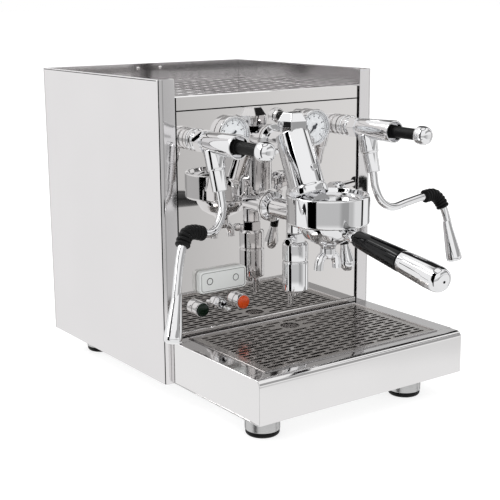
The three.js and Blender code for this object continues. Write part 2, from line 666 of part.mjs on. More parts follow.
// Wand outlines in the wand's own plane: reach out from the outlet's axis, and fall along it.
const wandRoutes = {
  left: {
    swing: 15,
    points: [[0, 2], [1.5, 20], [12, 36], [24, 44.5], [42, 44], [54, 41.5], [66, 43], [79, 60], [115, 153]],
  },
  right: {
    swing: 0,
    points: [
      [0, 2], [-0.5, 20], [6, 38], [21, 46.5], [47, 43.5], [78, 39.5], [98, 40], [110.5, 60], [114, 127]],
  },
};
const seatDepth = 12; // how far each wand starts inside its sleeve

// The rubber grip covers the wand from one share of its length to another.
const gripSpan = { left: [0.36, 0.545], right: [0.535, 0.705] };

function wandCurve(points) {
  return new THREE.CatmullRomCurve3(points.map(([out, fall]) => new THREE.Vector3(out, 0, -fall)), false,
    "centripetal");
}

function wandTube(points) {
  const curve = wandCurve(points);
  const pipe = swept(curve, wand.radius, 0, 22, 4);
  const [out, fall] = points[points.length - 1];
  const [outBefore, fallBefore] = points[points.length - 2];
  const lean = Math.atan2(out - outBefore, fall - fallBefore);
  const { radius, nozzleRadius, nozzleLength } = wand;
  const nozzle = turned([
    [0, -3], [nozzleRadius - 3, -2.6], [nozzleRadius - 0.6, -0.8], [nozzleRadius, 2], [nozzleRadius - 0.6, 10],
    [radius + 2.2, nozzleLength * 0.58], [radius, nozzleLength], [0, nozzleLength]], 18);
  nozzle.rotateY(-lean).translate(out, 0, -fall);
  return combine([pipe, nozzle]);
}

function wandGrip(points, [from, to]) {
  const curve = wandCurve(points);
  const spans = 8;
  const middle = [];
  for (let i = 0; i <= spans; i++) {
    middle.push(curve.getPointAt(from + ((to - from) * i) / spans));
  }
  return swept(new THREE.CatmullRomCurve3(middle), wand.gripRadius, wand.radius + 0.8, spans, 4);
}

function addValves() {
  const bodyShape = valveBody();
  for (const side of ["left", "right"]) {
    const out = side === "left" ? -1 : 1;
    const group = addGroup(machine, out * valve.x, 0, valve.z);
    addPiece(group, `valve_body_${side}`, bodyShape, chromed);
    addPiece(group, `joystick_grip_${side}`, joystickGrip(), blackRubber);
    addPiece(group, `joystick_ball_${side}`, joystickBall(), chromed);
    const pivot = addGroup(group, 0, outlet.y, 0);
    pivot.rotation.x = radians(-outlet.tilt);
    const seat = addGroup(pivot, 0, 0, -outlet.length + seatDepth);
    const route = wandRoutes[side];
    seat.rotation.z = out < 0 ? Math.PI + radians(route.swing) : radians(-route.swing);
    const points = [[0, 0], ...route.points.map(([reach, fall]) => [reach, fall + seatDepth])];
    addPiece(seat, `wand_${side}`, wandTube(points), chromed);
    addPiece(seat, `wand_grip_${side}`, wandGrip(points, gripSpan[side]), blackRubber);
  }
}

// ---------------------------------------------------------------- gauges, lamps and switches
function gaugeCase() {
  const back = -(panelFace - gap);
  const front = gauge.height + back;
  const { radius, dialRadius, canDepth } = gauge;
  return turnedForward([
    [0, back - canDepth], [gaugeCan, back - canDepth], [gaugeCan, back], [radius, back], [radius, front - 2],
    [radius - 1.2, front], [dialRadius + 0.6, front], [dialRadius, front - 1], [dialRadius, front - 5],
      [0, front - 5]], 18);
}

function gaugeNeedle() {
  const face = gauge.height - (panelFace - gap) - 5;
  const needle = new THREE.Shape();
  needle.moveTo(-0.5, 15);
  needle.lineTo(-1.1, -6);
  needle.lineTo(1.1, -6);
  needle.lineTo(0.5, 15);
  const blade = upright(needle, -face - 1.6, -face - 0.8);
  const hub = turnedForward([[0, face + gap], [2.4, face + gap], [2.4, face + 2], [0, face + 2]], 16);
  return combine([blade, hub]).rotateY(radians(-135));
}

function lampShape() {
  const start = -(panelFace - gap);
  const { radius, lensRadius, height } = lamp;
  return turnedForward([
    [0, -16], [lampShank, -16], [lampShank, start], [radius, start], [radius, height - 3],
      [lensRadius, height - 2.5],
    [lensRadius, height], [lensRadius - 1.5, height + 2.2], [lensRadius - 4, height + 3.2],
      [0, height + 3.6]], 14);
}

function toggleBushing() {
  const start = -(panelFace - gap);
  const { bushRadius, bushLength } = toggle;
  const nut = turnedForward([[0, start], [bushRadius + 2, start], [bushRadius + 2, 1], [0, 1]], 6);
  const collar = turnedForward([[0, -20], [toggleShank, -20], [toggleShank, start], [bushRadius, start],
    [bushRadius, bushLength - 3], [bushRadius - 1.5, bushLength], [0, bushLength]], 18);
  const bore = turnedForward([[0, 1], [3.6, 1], [4.6, bushLength + 1], [0, bushLength + 1]], 18);
  return combine([nut, collar], [bore]);
}

// The lever pivots inside the bushing and rests tilted down, which is off.
function toggleLever() {
  const { bushLength, leverLength, rest } = toggle;
  const bat = turnedForward([[0, 0], [1.5, 0], [2, bushLength - 3], [3, bushLength + leverLength - 7],
    [2.6, bushLength + leverLength - 4], [0, bushLength + leverLength - 3]], 18);
  return bat.rotateX(radians(rest));
}

function addInstruments() {
  for (const [side, x] of [["left", -gauge.x], ["right", gauge.x]]) {
    const group = addGroup(machine, x, 0, gauge.z);
    addPiece(group, `gauge_case_${side}`, gaugeCase(), dialWhite);
    addPiece(group, `gauge_needle_${side}`, gaugeNeedle(), blackPlastic);
  }
  addPiece(addGroup(machine, lamp.greenX, 0, lamp.z), "green_lamp", lampShape(), greenGlass);
  addPiece(addGroup(machine, lamp.orangeX, 0, lamp.z), "orange_lamp", lampShape(), orangeGlass);
  const switchPlace = addGroup(machine, toggle.x, 0, toggle.z);
  addPiece(switchPlace, "switch_bushing", toggleBushing(), chromed);
  addPiece(addGroup(switchPlace, 0, -1.5, 0), "switch_lever", toggleLever(), chromed);
}

function addController() {
  const group = addGroup(machine, housing.x, 0, housing.z);
  const { width, height, depth, corner, buttonSpan, buttonRadius } = housing;
  const back = panelFace - gap;
  const front = back - depth;
  const box = upright(roundedOutline(width, height, corner), front, back, 6);
  const wells = [-1, 1].map((side) =>
    turnedForward([[0, -back + 3], [buttonRadius + gap, -back + 3], [buttonRadius + gap, 20], [0, 20]], 18)
      .translate((side * buttonSpan) / 2, 0, 0));
  addPiece(group, "controller_housing", combine([box], wells), chromed);
  const button = turnedForward([
    [0, -back + 4.5], [buttonRadius, -back + 4.5], [buttonRadius, depth - back - 1],
      [buttonRadius - 0.8, depth - back - 0.4],
    [0, depth - back]], 18);
  for (const [name, side] of [["button_left", -1], ["button_right", 1]]) {
    addPiece(addGroup(group, (side * buttonSpan) / 2, 0, 0), name, button, brushed);
  }
}

// ---------------------------------------------------------------- inside the housing
function boilerShell() {
  const { radius, length, wall } = boiler;
  const h = length / 2;
  const port = 19;
  return turnedAcross([
    [0, -h - 8], [radius - 22, -h - 6], [radius - 4, -h], [radius, -h + 6], [radius, h - 6], [radius - 4, h],
    [port, h + 6], [port, h + 4.4], [radius - 5, h - 1.6], [radius - wall, h - 7], [radius - wall, -h + 7],
    [radius - 5, -h + 1.6], [0, -h - 6.4]], 20).translate(0, boiler.y, boiler.z);
}

function heatingElement() {
  const h = boiler.length / 2;
  const head = turnedAcross([
    [0, h + 6.4], [24, h + 6.4], [24, h + 13], [16, h + 14], [16, h + 24], [0, h + 24]], 6);
  const loop = swept(bentPath([
    [h + 7, 0, 9], [-h + 30, 0, 9], [-h + 30, 0, -9], [h + 7, 0, -9]], 8.5), 3.4, 0, 18, 3);
  return combine([head, loop]).translate(0, boiler.y, boiler.z);
}

// Each pipe starts behind the panel and ends at the boiler's shell.
function pipeTo(x, z, endX, endZ, radius) {
  const end = boilerFront(endZ, radius);
  const route = [[x, arm.reach + 3, z], [x, arm.reach + 20, z], [endX, end - 16, endZ], [endX, end, endZ]];
  return swept(bentPath(route, 9), radius, 0, 12, 4);
}

// Where a pipe of the given radius, coming from the front at height z, meets the boiler's shell.
function boilerFront(z, radius) {
  const nearest = Math.max(0, Math.abs(z - boiler.z) - radius);
  return boiler.y - Math.sqrt(boiler.radius ** 2 - nearest ** 2) - gap;
}

function addInside() {
  addPiece(machine, "boiler", boilerShell(), copper);
  addPiece(machine, "heating_element", heatingElement(), brass);
  addPiece(machine, "upper_circulation_pipe", pipeTo(0, arm.upperZ, -20, 244, 6), copper);
  addPiece(machine, "lower_circulation_pipe", pipeTo(0, arm.lowerZ, 20, 206, 6), copper);
  addPiece(machine, "steam_pipe", pipeTo(-valve.x, valve.z, -60, 250, 4), copper);
  addPiece(machine, "hot_water_pipe", pipeTo(valve.x, valve.z, 60, 212, 4), copper);
  addPiece(machine, "water_tank", waterTank(), clearPlastic);
  addPiece(machine, "pump", pump(), blackPlastic);
  addPiece(machine, "control_box", controlBoxShape(), blackPlastic);
  addPiece(machine, "pressure_switch", pressureSwitch(), blackPlastic);
  addPiece(machine, "power_inlet", powerInlet(), blackPlastic);
}

function controlBoxShape() {
  const { left, right, depth, beforeBack, bottom, top } = controlBox;
  const back = body.depth - beforeBack;
  return block(left, right, back - depth, back, bottom, top);
}

function waterTank() {
  const x0 = tank.left;
  const x1 = x0 + tank.width;
  const y0 = boiler.y + boiler.radius + tank.behindBoiler;
  const y1 = body.depth - sheet - tank.beforeBack;
  return combine(
    [block(x0, x1, y0, y1, tank.bottom, tank.top)],
    [block(x0 + tank.wall, x1 - tank.wall, y0 + tank.wall, y1 - tank.wall, tank.bottom + tank.wall,
      tank.top + 5)]);
}

function pump() {
  const motor = turnedAcross([[0, -60], [30, -60], [32, -56], [32, 22], [20, 24], [20, 58], [0, 58]], 18);
  const cradle = block(-45, 10, -20, 20, -pumpPlace.axisHeight, 0);
  const lowest = body.bottom + chassis.thickness + 12 + gap;
  return combine([motor, cradle])
    .translate(pumpPlace.x, body.depth - pumpPlace.beforeBack, lowest + pumpPlace.axisHeight);
}

function pressureSwitch() {
  const box = block(-22, 22, -16, 16, 0, 34);
  const nipple = disc(5, -7, 1, 16);
  return combine([box, nipple]).translate(40, boiler.y, boiler.z + boiler.radius + 7 + 2 * gap);
}

function powerInlet() {
  const back = body.depth;
  const { width, height, depth, flange } = inlet;
  const rim = upright(roundedOutline(width + 14, height + 8, 4), back + gap, back + flange);
  const shell = upright(roundedOutline(width, height, 3), back - depth, back + flange - 1);
  const well = upright(roundedOutline(width - 6, height - 6, 3), back - depth + 6, back + flange + 1);
  const pins = [-7, 0, 7].map((x) => block(x - 1, x + 1, back - depth + 5, back - 3, -2.5, 2.5));
  const hollow = combine([rim, shell], [well]);
  return combine([hollow, ...pins]).translate(inlet.x, 0, inlet.z);
}

// ---------------------------------------------------------------- the whole machine
addHousing();
addFeet();
addPiece(machine, "drip_tray", dripTray(), polished);
addPiece(machine, "drip_grid", dripGrid(), polished);
addGroup58();
addPortafilter();
addValves();
addInstruments();
addController();
addInside();

// The origin is the middle of the whole machine's footprint, on the ground.
machine.updateMatrixWorld(true);
const extent = new THREE.Box3().setFromObject(machine, true);
const middle = extent.getCenter(new THREE.Vector3());
machine.position.set(-middle.x, -middle.y, -extent.min.z);

export default machine;
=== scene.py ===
"""An espresso machine with two valves and a lever-operated brew group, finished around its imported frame.
Pieces are drawn in millimetres from the foot of the housing's front, midway between the side walls,
with +X to the operator's right, -Y towards the operator and +Z up."""

import math

import bmesh
import bpy
from mathutils import Matrix, Vector, geometry


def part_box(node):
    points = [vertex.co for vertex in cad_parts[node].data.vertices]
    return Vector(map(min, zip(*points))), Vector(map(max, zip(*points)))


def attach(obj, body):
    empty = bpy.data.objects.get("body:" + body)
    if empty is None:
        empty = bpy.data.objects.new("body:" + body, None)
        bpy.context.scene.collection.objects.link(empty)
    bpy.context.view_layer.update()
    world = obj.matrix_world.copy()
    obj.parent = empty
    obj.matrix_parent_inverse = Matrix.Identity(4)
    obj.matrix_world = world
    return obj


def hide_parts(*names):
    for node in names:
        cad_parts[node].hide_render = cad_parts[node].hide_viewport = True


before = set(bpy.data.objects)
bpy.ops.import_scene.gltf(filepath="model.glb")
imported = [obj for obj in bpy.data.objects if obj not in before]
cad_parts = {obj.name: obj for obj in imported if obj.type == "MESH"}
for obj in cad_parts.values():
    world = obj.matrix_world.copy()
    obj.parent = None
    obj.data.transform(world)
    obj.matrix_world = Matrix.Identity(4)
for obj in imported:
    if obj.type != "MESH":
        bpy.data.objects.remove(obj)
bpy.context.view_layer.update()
MM = 0.001
LEFT_WALL, RIGHT_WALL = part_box("left_side_panel"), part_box("right_side_panel")
HOME = Vector(((LEFT_WALL[0].x + RIGHT_WALL[1].x) / 2, LEFT_WALL[0].y, 0))


def extent(node):
    """A node's lowest and highest corners, in millimetres from HOME."""
    low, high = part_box(node)
    return (low - HOME) / MM, (high - HOME) / MM


# ------------------------------------------------------------------ camera, light and floor
VIEW = {"place": (-804.35, -1083.21, 485.5), "turn": -35.36, "down": 12.9, "roll": 0.4, "lens": 79.12}


def set_camera():
    turn, down, roll = (math.radians(VIEW[key]) for key in ("turn", "down", "roll"))
    data = bpy.data.cameras.new("camera")
    data.lens = VIEW["lens"]
    data.sensor_width = 36
    data.clip_end = 100
    camera = bpy.data.objects.new("camera", data)
    bpy.context.scene.collection.objects.link(camera)
    aim = (Matrix.Rotation(turn, 4, "Z") @ Matrix.Rotation(math.pi / 2 - down, 4, "X")
           @ Matrix.Rotation(-roll, 4, "Z"))
    camera.matrix_world = Matrix.Translation(HOME + Vector(VIEW["place"]) * MM) @ aim
    bpy.context.scene.camera = camera


class Wire:
    """A node's output. Arithmetic on it adds Math nodes."""

    def __init__(self, tree, socket):
        self.tree = tree
        self.socket = socket

    def math(self, operation, first, second):
        return Nodes(self.tree).node("Math", {"operation": operation}, [first, second])

    def __add__(self, other):
        return self.math("ADD", self, other)

    def __radd__(self, other):
        return self.math("ADD", other, self)

    def __sub__(self, other):
        return self.math("SUBTRACT", self, other)

    def __rsub__(self, other):
        return self.math("SUBTRACT", other, self)

    def __mul__(self, other):
        return self.math("MULTIPLY", self, other)

    def __rmul__(self, other):
        return self.math("MULTIPLY", other, self)


class Nodes:
    """Adds shader nodes to one tree."""

    def __init__(self, tree):
        self.tree = tree

    def node(self, kind, settings=None, values=(), output=0):
        """A new node: settings first, then values or wires for its inputs, by place or by name."""
        made = self.tree.nodes.new("ShaderNode" + kind)
        for name, setting in (settings or {}).items():
            if name == "stops":
                for stop, (where, colour) in zip(made.color_ramp.elements, setting):
                    stop.position = where
                    stop.color = (*colour, 1)
            else:
                setattr(made, name, setting)
        pairs = values.items() if isinstance(values, dict) else enumerate(values)
        for place, value in pairs:
            if isinstance(value, Wire):
                self.tree.links.new(value.socket, made.inputs[place])
            elif value is not None:
                made.inputs[place].default_value = value
        return Wire(self.tree, made.outputs[output]) if made.outputs else made

    def blend(self, factor, first, second):
        """Goes from one colour to another."""
        made = self.tree.nodes.new("ShaderNodeMix")
        made.data_type = "RGBA"
        for place, value in ((0, factor), (6, first), (7, second)):
            if isinstance(value, Wire):
                self.tree.links.new(value.socket, made.inputs[place])
            else:
                made.inputs[place].default_value = value
        return Wire(self.tree, made.outputs[2])


# The studio's screens, seen from the machine: middle and half width in azimuth from the camera's
# side (left is minus), lowest and highest elevation as a height on the unit sphere, brightness, and the
# softness of the two upright edges.
SCREENS = (
    (6, 48, -0.27, 0.03, 0.6, 1),
    (80, 26, -0.29, -0.02, 0.86, 1),
    (50, 20, -0.29, -0.02, 0.66, 7),
    (75, 34, 0.2, 0.6, 0.4, 3),
    (176, 40, 0.24, 0.4, 0.55, 3),
    (-49, 13, -0.8, 0.85, 0.0, 1),
    (-152, 14, -0.6, 0.03, 0.35, 1),
    (102, 4, -0.5, 0.75, 0.02, 1),
    (142, 8, -0.6, 0.4, 0.25, 1),
    (165, 30, 0.4, 0.86, 0.02, 2),
)
LIGHT_BARS = ((-80, 45, 0.52, 0.57, 9, 1), (-80, 45, 0.74, 0.79, 9, 1))
EDGE = 0.02  # softness of the level edges, as a height
CEILING_GAP = (0.88, 0.93)  # a dark ring, from one height to another
GAP_DEPTH = 0.95
PAPER = {"middle": 0.97, "rise": 0.06}  # the light between the screens, and its change with height

# Name, place and width in metres, and power in watts.
LAMPS = (("overhead", (-0.6, -0.8, 2.6), 2.4, 26), ("front", (-1.6, -2.2, 1.5), 1.6, 12))
LAMP_AIM = Vector((0, 0, 0.2))
FLOOR = {"reach": 40, "grey": 0.5, "glow": 0.74}


def set_studio():
    world = bpy.data.worlds.new("studio")
    bpy.context.scene.world = world
    world.use_nodes = True
    tree = world.node_tree
    tree.nodes.clear()
    nodes = Nodes(tree)
    direction = nodes.node("TexCoord", output="Generated")
    split = nodes.node("SeparateXYZ", values=[direction])
    axes = [Wire(tree, output) for output in split.socket.node.outputs]
    height = axes[2]
    turn = math.radians(VIEW["turn"])
    across = axes[0] * math.cos(turn) + axes[1] * math.sin(turn)
    along = axes[0] * math.sin(turn) - axes[1] * math.cos(turn)
    azimuth = nodes.node("Math", {"operation": "ARCTAN2"}, [across, along])

    def between(value, low, high, edge):
        rise = nodes.node("MapRange", {"interpolation_type": "SMOOTHSTEP"}, [value, low - edge, low + edge])
        fall = nodes.node("MapRange", {"interpolation_type": "SMOOTHSTEP"}, [value, high - edge, high + edge])
        return rise * (1 - fall)

    light = PAPER["middle"] + height * PAPER["rise"]
    for middle, half, low, high, brightness, softness in (*SCREENS, *LIGHT_BARS):
        away = nodes.node("Math", {"operation": "ABSOLUTE"}, [azimuth - math.radians(middle)])
        away = nodes.node("Math", {"operation": "MINIMUM"}, [away, 2 * math.pi - away])
        far = nodes.node("MapRange", {"interpolation_type": "SMOOTHSTEP"},
                         [away, math.radians(half - softness), math.radians(half + softness)])
        light = light * (1 - (1 - far) * between(height, low, high, EDGE) * (1 - brightness))
    light = light * (1 - between(height, *CEILING_GAP, EDGE) * GAP_DEPTH)
    seen = nodes.node("LightPath", output="Is Camera Ray")
    strength = seen + light * (1 - seen)
    background = nodes.node("Background", values=[(1, 1, 1, 1), strength])
    nodes.node("OutputWorld", values=[background])


def set_floor():
    mesh = bpy.data.meshes.new("floor")
    reach, grey = FLOOR["reach"], FLOOR["grey"]
    mesh.from_pydata([(-reach, -reach, 0), (reach, -reach, 0), (reach, reach, 0), (-reach, reach, 0)], [],
                     [(0, 1, 2, 3)])
    floor = bpy.data.objects.new("floor", mesh)
    bpy.context.scene.collection.objects.link(floor)
    surface = bpy.data.materials.new("floor_paper")
    surface.use_nodes = True
    shader = surface.node_tree.nodes["Principled BSDF"]
    shader.inputs["Base Color"].default_value = (grey, grey, grey, 1)
    shader.inputs["Roughness"].default_value = 1
    shader.inputs["Specular IOR Level"].default_value = 0
    shader.inputs["Emission Color"].default_value = (1, 1, 1, 1)
    shader.inputs["Emission Strength"].default_value = FLOOR["glow"]
    mesh.materials.append(surface)
    floor.visible_glossy = False


def set_lamps():
    for name, place, size, power in LAMPS:
        data = bpy.data.lights.new(name, "AREA")
        data.size = size
        data.energy = power
        lamp = bpy.data.objects.new(name, data)
        bpy.context.scene.collection.objects.link(lamp)
        lamp.location = place
        lamp.rotation_euler = (LAMP_AIM - Vector(place)).to_track_quat("-Z", "Y").to_euler()
        lamp.visible_glossy = False


# ------------------------------------------------------------------ finishes
BROAD_NOISE = {"Scale": 7.0, "Detail": 2.0}
FINE_DETAIL = 4.0
FADE = 0.93  # a finish's second colour, as a share of its first
BUMP_DEPTH = 0.0004


def finish(name, colour, roughness, metallic=0.0, grain=0.0, streak=None, dirt=0.0, bump=0.0, scale=40.0,
           coat=0.0, tint=None, specular=0.5):
    """A surface whose roughness varies finely with `grain` and broadly with `dirt`.

    `streak` stretches the fine noise along X, Y and Z. The colour drifts to `tint`, or fades a little."""
    surface = bpy.data.materials.new(name)
    surface.use_nodes = True
    tree = surface.node_tree
    nodes = Nodes(tree)
    shader = tree.nodes["Principled BSDF"]
    shader.inputs["Metallic"].default_value = metallic
    shader.inputs["Coat Weight"].default_value = coat
    shader.inputs["Specular IOR Level"].default_value = specular
    place = nodes.node("TexCoord", output="Object")
    if streak:
        place = nodes.node("Mapping", values={"Vector": place, "Scale": streak})
    noise = nodes.node("TexNoise", values={"Vector": place, "Scale": scale, "Detail": FINE_DETAIL})
    whole = nodes.node("TexCoord", output="Object")
    broad = nodes.node("TexNoise", values={"Vector": whole, **BROAD_NOISE})
    rough = roughness + (noise - 0.5) * grain + (broad - 0.5) * dirt
    tree.links.new(rough.socket, shader.inputs["Roughness"])
    other = tint or tuple(channel * FADE for channel in colour)
    mixed = nodes.blend(broad, (*colour, 1), (*other, 1))
    tree.links.new(mixed.socket, shader.inputs["Base Color"])
    if bump:
        bumped = nodes.node("Bump", values={"Height": noise, "Strength": bump, "Distance": BUMP_DEPTH})
        tree.links.new(bumped.socket, shader.inputs["Normal"])
    return surface


def make_finishes():
    return {
        "mirror": finish("mirror_steel", (0.84, 0.82, 0.81), 0.025, 1, dirt=0.02, grain=0.01, scale=18,
                         bump=0.02),
        "bright": finish("bright_steel", (0.83, 0.82, 0.82), 0.07, 1, dirt=0.05, grain=0.03, scale=30),
        "wall": finish("satin_steel", (0.80, 0.785, 0.79), 0.09, 1, dirt=0.03, grain=0.03, streak=(1, 1, 14),
                       scale=60),
        "chrome": finish("chrome_plate", (0.86, 0.86, 0.87), 0.03, 1, dirt=0.02, grain=0.01, scale=25),
        # The drip grid: the tray's polished steel made darker and browner, which is painted shade and painted
        # reflection.
        "grid": finish("grid_steel_painted_shade", (0.52, 0.495, 0.475), 0.2, 1, dirt=0.08, grain=0.05, scale=80),
        "brushed": finish("brushed_steel", (0.58, 0.58, 0.58), 0.3, 1, dirt=0.06, grain=0.2,
                          streak=(1, 1, 30), scale=90, bump=0.08),
        "gloss": finish("black_gloss", (0.002, 0.002, 0.0024), 0.1, dirt=0.05, grain=0.02, scale=60,
                        specular=0.25),
        "rubber": finish("black_rubber", (0.004, 0.004, 0.0042), 0.45, dirt=0.1, grain=0.1, scale=900,
                         bump=0.2, specular=0.16),
        "plastic": finish("black_plastic", (0.012, 0.012, 0.013), 0.45, dirt=0.08, grain=0.1, scale=700,
                          bump=0.2, specular=0.3),
        "clear": finish("tank_plastic", (0.62, 0.66, 0.69), 0.25, dirt=0.05, grain=0.05),
        "copper": finish("bare_copper", (0.72, 0.36, 0.22), 0.3, 1, dirt=0.15, grain=0.1,
                         tint=(0.45, 0.22, 0.14)),
        "brass": finish("bare_brass", (0.72, 0.55, 0.26), 0.3, 1, dirt=0.15, grain=0.1),
        "dial": finish("dial_enamel", (0.86, 0.88, 0.9), 0.35, dirt=0.04, coat=1.0),
        "mark": finish("dial_print", (0.05, 0.055, 0.065), 0.5, dirt=0.05),
        "green": finish("green_lens", (0.0004, 0.003, 0.001), 0.05, dirt=0.03, tint=(0.001, 0.012, 0.004),
                        specular=0.3),
        "orange": finish("orange_lens", (0.8, 0.1, 0.008), 0.06, dirt=0.03, tint=(0.35, 0.025, 0.004)),
        "case": finish("silver_case", (0.74, 0.755, 0.745), 0.3, 0.2, dirt=0.08, grain=0.08, scale=300),
        "button": finish("button_steel", (0.2, 0.2, 0.2), 0.3, 1, dirt=0.1, grain=0.1),
        # Black for the dark joints and button rings, and painted shade under the cup tray's slots and in the
        # handle knob's hole.
        "dark": finish("dark_seam_and_painted_shade", (0.004, 0.004, 0.004), 0.8, dirt=0.1, specular=0.0),
    }


# ------------------------------------------------------------------ mesh tools
class Form:
    """A growing list of points and faces, in millimetres from HOME."""

    def __init__(self):
        self.points = []
        self.faces = []

    def add(self, points, faces, matrix=None):
        start = len(self.points)
        moved = (matrix @ Vector(point) if matrix else Vector(point) for point in points)
        self.points.extend(moved)
        self.faces.extend(tuple(start + corner for corner in face) for face in faces)
        return self

    def join(self, other, matrix=None):
        return self.add(other.points, other.faces, matrix)


def at(x, y, z):
    return Matrix.Translation((x, y, z))


def tilt(axis, degrees):
    return Matrix.Rotation(math.radians(degrees), 4, axis)


FORWARD = tilt("X", 90)  # heights run along -Y
ACROSS = tilt("Y", 90)  # heights run along +X


def lengthwise(x, z):
    """For an outline in Y and Z, raised along +X from x; z is its zero height."""
    return Matrix(((0, 0, 1, x), (1, 0, 0, 0), (0, 1, 0, z), (0, 0, 0, 1)))


def eased(profile, radius, steps=4):
    """The profile with each inner corner rounded over."""
    outline = [profile[0]]
    for before, corner, after in zip(profile, profile[1:], profile[2:]):
        corner, into, out = Vector(corner), Vector(before) - Vector(corner), Vector(after) - Vector(corner)
        reach = min(radius, 0.45 * into.length, 0.45 * out.length)
        if reach < 1e-4 or abs(into.angle(out) - math.pi) < 0.02:
            outline.append(tuple(corner))
            continue
        start, end = corner + into.normalized() * reach, corner + out.normalized() * reach
        for step in range(steps + 1):
            t = step / steps
            outline.append(tuple(start * (1 - t) ** 2 + corner * 2 * t * (1 - t) + end * t ** 2))
    outline.append(profile[-1])
    return outline


def lathe(profile, fillet=0.6, sides=72):
    """A [radius, height] profile turned about Z. One that doesn't start on the axis is closed on itself."""
    outline = eased(profile, fillet) if fillet else profile
    form = Form()
    rings = []
    for radius, height in outline:
        if radius < 1e-6:
            form.points.append(Vector((0, 0, height)))
            rings.append([len(form.points) - 1] * sides)
            continue
        start = len(form.points)
        for side in range(sides):
            angle = 2 * math.pi * side / sides
            form.points.append(Vector((radius * math.cos(angle), radius * math.sin(angle), height)))
        rings.append(list(range(start, start + sides)))
    if outline[0][0] > 1e-6:
        rings.append(rings[0])
    for lower, upper in zip(rings, rings[1:]):
        for side in range(sides):
            corners = (lower[side], lower[(side + 1) % sides], upper[(side + 1) % sides], upper[side])
            kept = tuple(dict.fromkeys(corners))
            if len(kept) > 2:
                form.faces.append(kept)
    return form


def smooth_path(points, steps=10):
    """Points of a smooth curve through the given ones."""
    knots = [Vector(point) for point in points]
    knots = [2 * knots[0] - knots[1]] + knots + [2 * knots[-1] - knots[-2]]
    path = []
    for a, b, c, d in zip(knots, knots[1:], knots[2:], knots[3:]):
        gaps = [max((q - p).length, 1e-6) ** 0.5 for p, q in ((a, b), (b, c), (c, d))]
        t1 = gaps[0]
        t2 = t1 + gaps[1]
        t3 = t2 + gaps[2]
        for step in range(steps):
            t = t1 + (t2 - t1) * step / steps
            ab = a.lerp(b, t / t1)
            bc = b.lerp(c, (t - t1) / (t2 - t1))
            cd = c.lerp(d, (t - t2) / (t3 - t2))
            path.append(ab.lerp(bc, t / t2).lerp(bc.lerp(cd, (t - t1) / (t3 - t1)), (t - t1) / (t2 - t1)))
    path.append(knots[-2])
    return path


def lengths(path):
    run = [0.0]
    for before, after in zip(path, path[1:]):
        run.append(run[-1] + (after - before).length)
    return run


def part_of(path, start, end, count):
    """Evenly spaced points of a path, between two shares of its length."""
    run = lengths(path)
    picked = []
    for index in range(count + 1):
        target = run[-1] * (start + (end - start) * index / count)
        place = max(i for i in range(len(run) - 1) if run[i] <= target + 1e-9)
        share = (target - run[place]) / (run[place + 1] - run[place])
        picked.append(path[place].lerp(path[place + 1], min(share, 1.0)))
    return picked


def bar(path, radii, sides=32):
    """A round bar along a path, with one radius or one for each point, closed at both ends."""
    radii = radii if isinstance(radii, list) else [radii] * len(path)
    form = Form()
    tangent = (path[1] - path[0]).normalized()
    side = tangent.orthogonal().normalized()
    for index, (point, radius) in enumerate(zip(path, radii)):
        ahead, behind = path[min(index + 1, len(path) - 1)], path[max(index - 1, 0)]
        heading = (ahead - behind).normalized()
        side = (side - heading * side.dot(heading)).normalized()
        other = heading.cross(side)
        for step in range(sides):
            angle = 2 * math.pi * step / sides
            form.points.append(point + (side * math.cos(angle) + other * math.sin(angle)) * radius)
    for ring in range(len(path) - 1):
        for step in range(sides):
            near, far = ring * sides, (ring + 1) * sides
            after = (step + 1) % sides
            form.faces.append((near + step, near + after, far + after, far + step))
    form.faces.append(tuple(reversed(range(sides))))
    form.faces.append(tuple(range((len(path) - 1) * sides, len(path) * sides)))
    return form


def brick(low, high):
    (x0, y0, z0), (x1, y1, z1) = low, high
    points = [(x, y, z) for z in (z0, z1) for y in (y0, y1) for x in (x0, x1)]
    faces = [(0, 2, 3, 1), (4, 5, 7, 6), (0, 1, 5, 4), (2, 6, 7, 3), (0, 4, 6, 2), (1, 3, 7, 5)]
    return Form().add(points, faces)


def edging(low, high, bottom, top, thick):
    """Four bricks along the inside of a rectangle's edges."""
    form = Form()
    for x0, x1, y0, y1 in ((low.x, low.x + thick, low.y, high.y), (high.x - thick, high.x, low.y, high.y),
                           (low.x, high.x, low.y, low.y + thick), (low.x, high.x, high.y - thick, high.y)):
        form.join(brick((x0, y0, bottom), (x1, y1, top)))
    return form


def prism(outline, depth):
    """An outline in X and Y, raised along Z from 0 to depth."""
    count = len(outline)
    points = [(x, y, z) for z in (0, depth) for x, y in outline]
    faces = [(i, (i + 1) % count, count + (i + 1) % count, count + i) for i in range(count)]
    return Form().add(points, faces + [tuple(reversed(range(count))), tuple(range(count, 2 * count))])


def arc(x, y, radius, start, end, steps=12):
    turns = (math.radians(start + (end - start) * step / steps) for step in range(steps + 1))
    return [(x + radius * math.cos(turn), y + radius * math.sin(turn)) for turn in turns]


def rounded(width, height, radius, steps=8):
    x, y = width / 2 - radius, height / 2 - radius
    corners = ((x, y, 0), (-x, y, 90), (-x, -y, 180), (x, -y, 270))
    return [point for cx, cy, turn in corners for point in arc(cx, cy, radius, turn, turn + 90, steps)]


SHARP_FROM = 28  # degrees between two faces, for shading
BEVEL_FROM = 35  # degrees between two faces, for a rounded edge


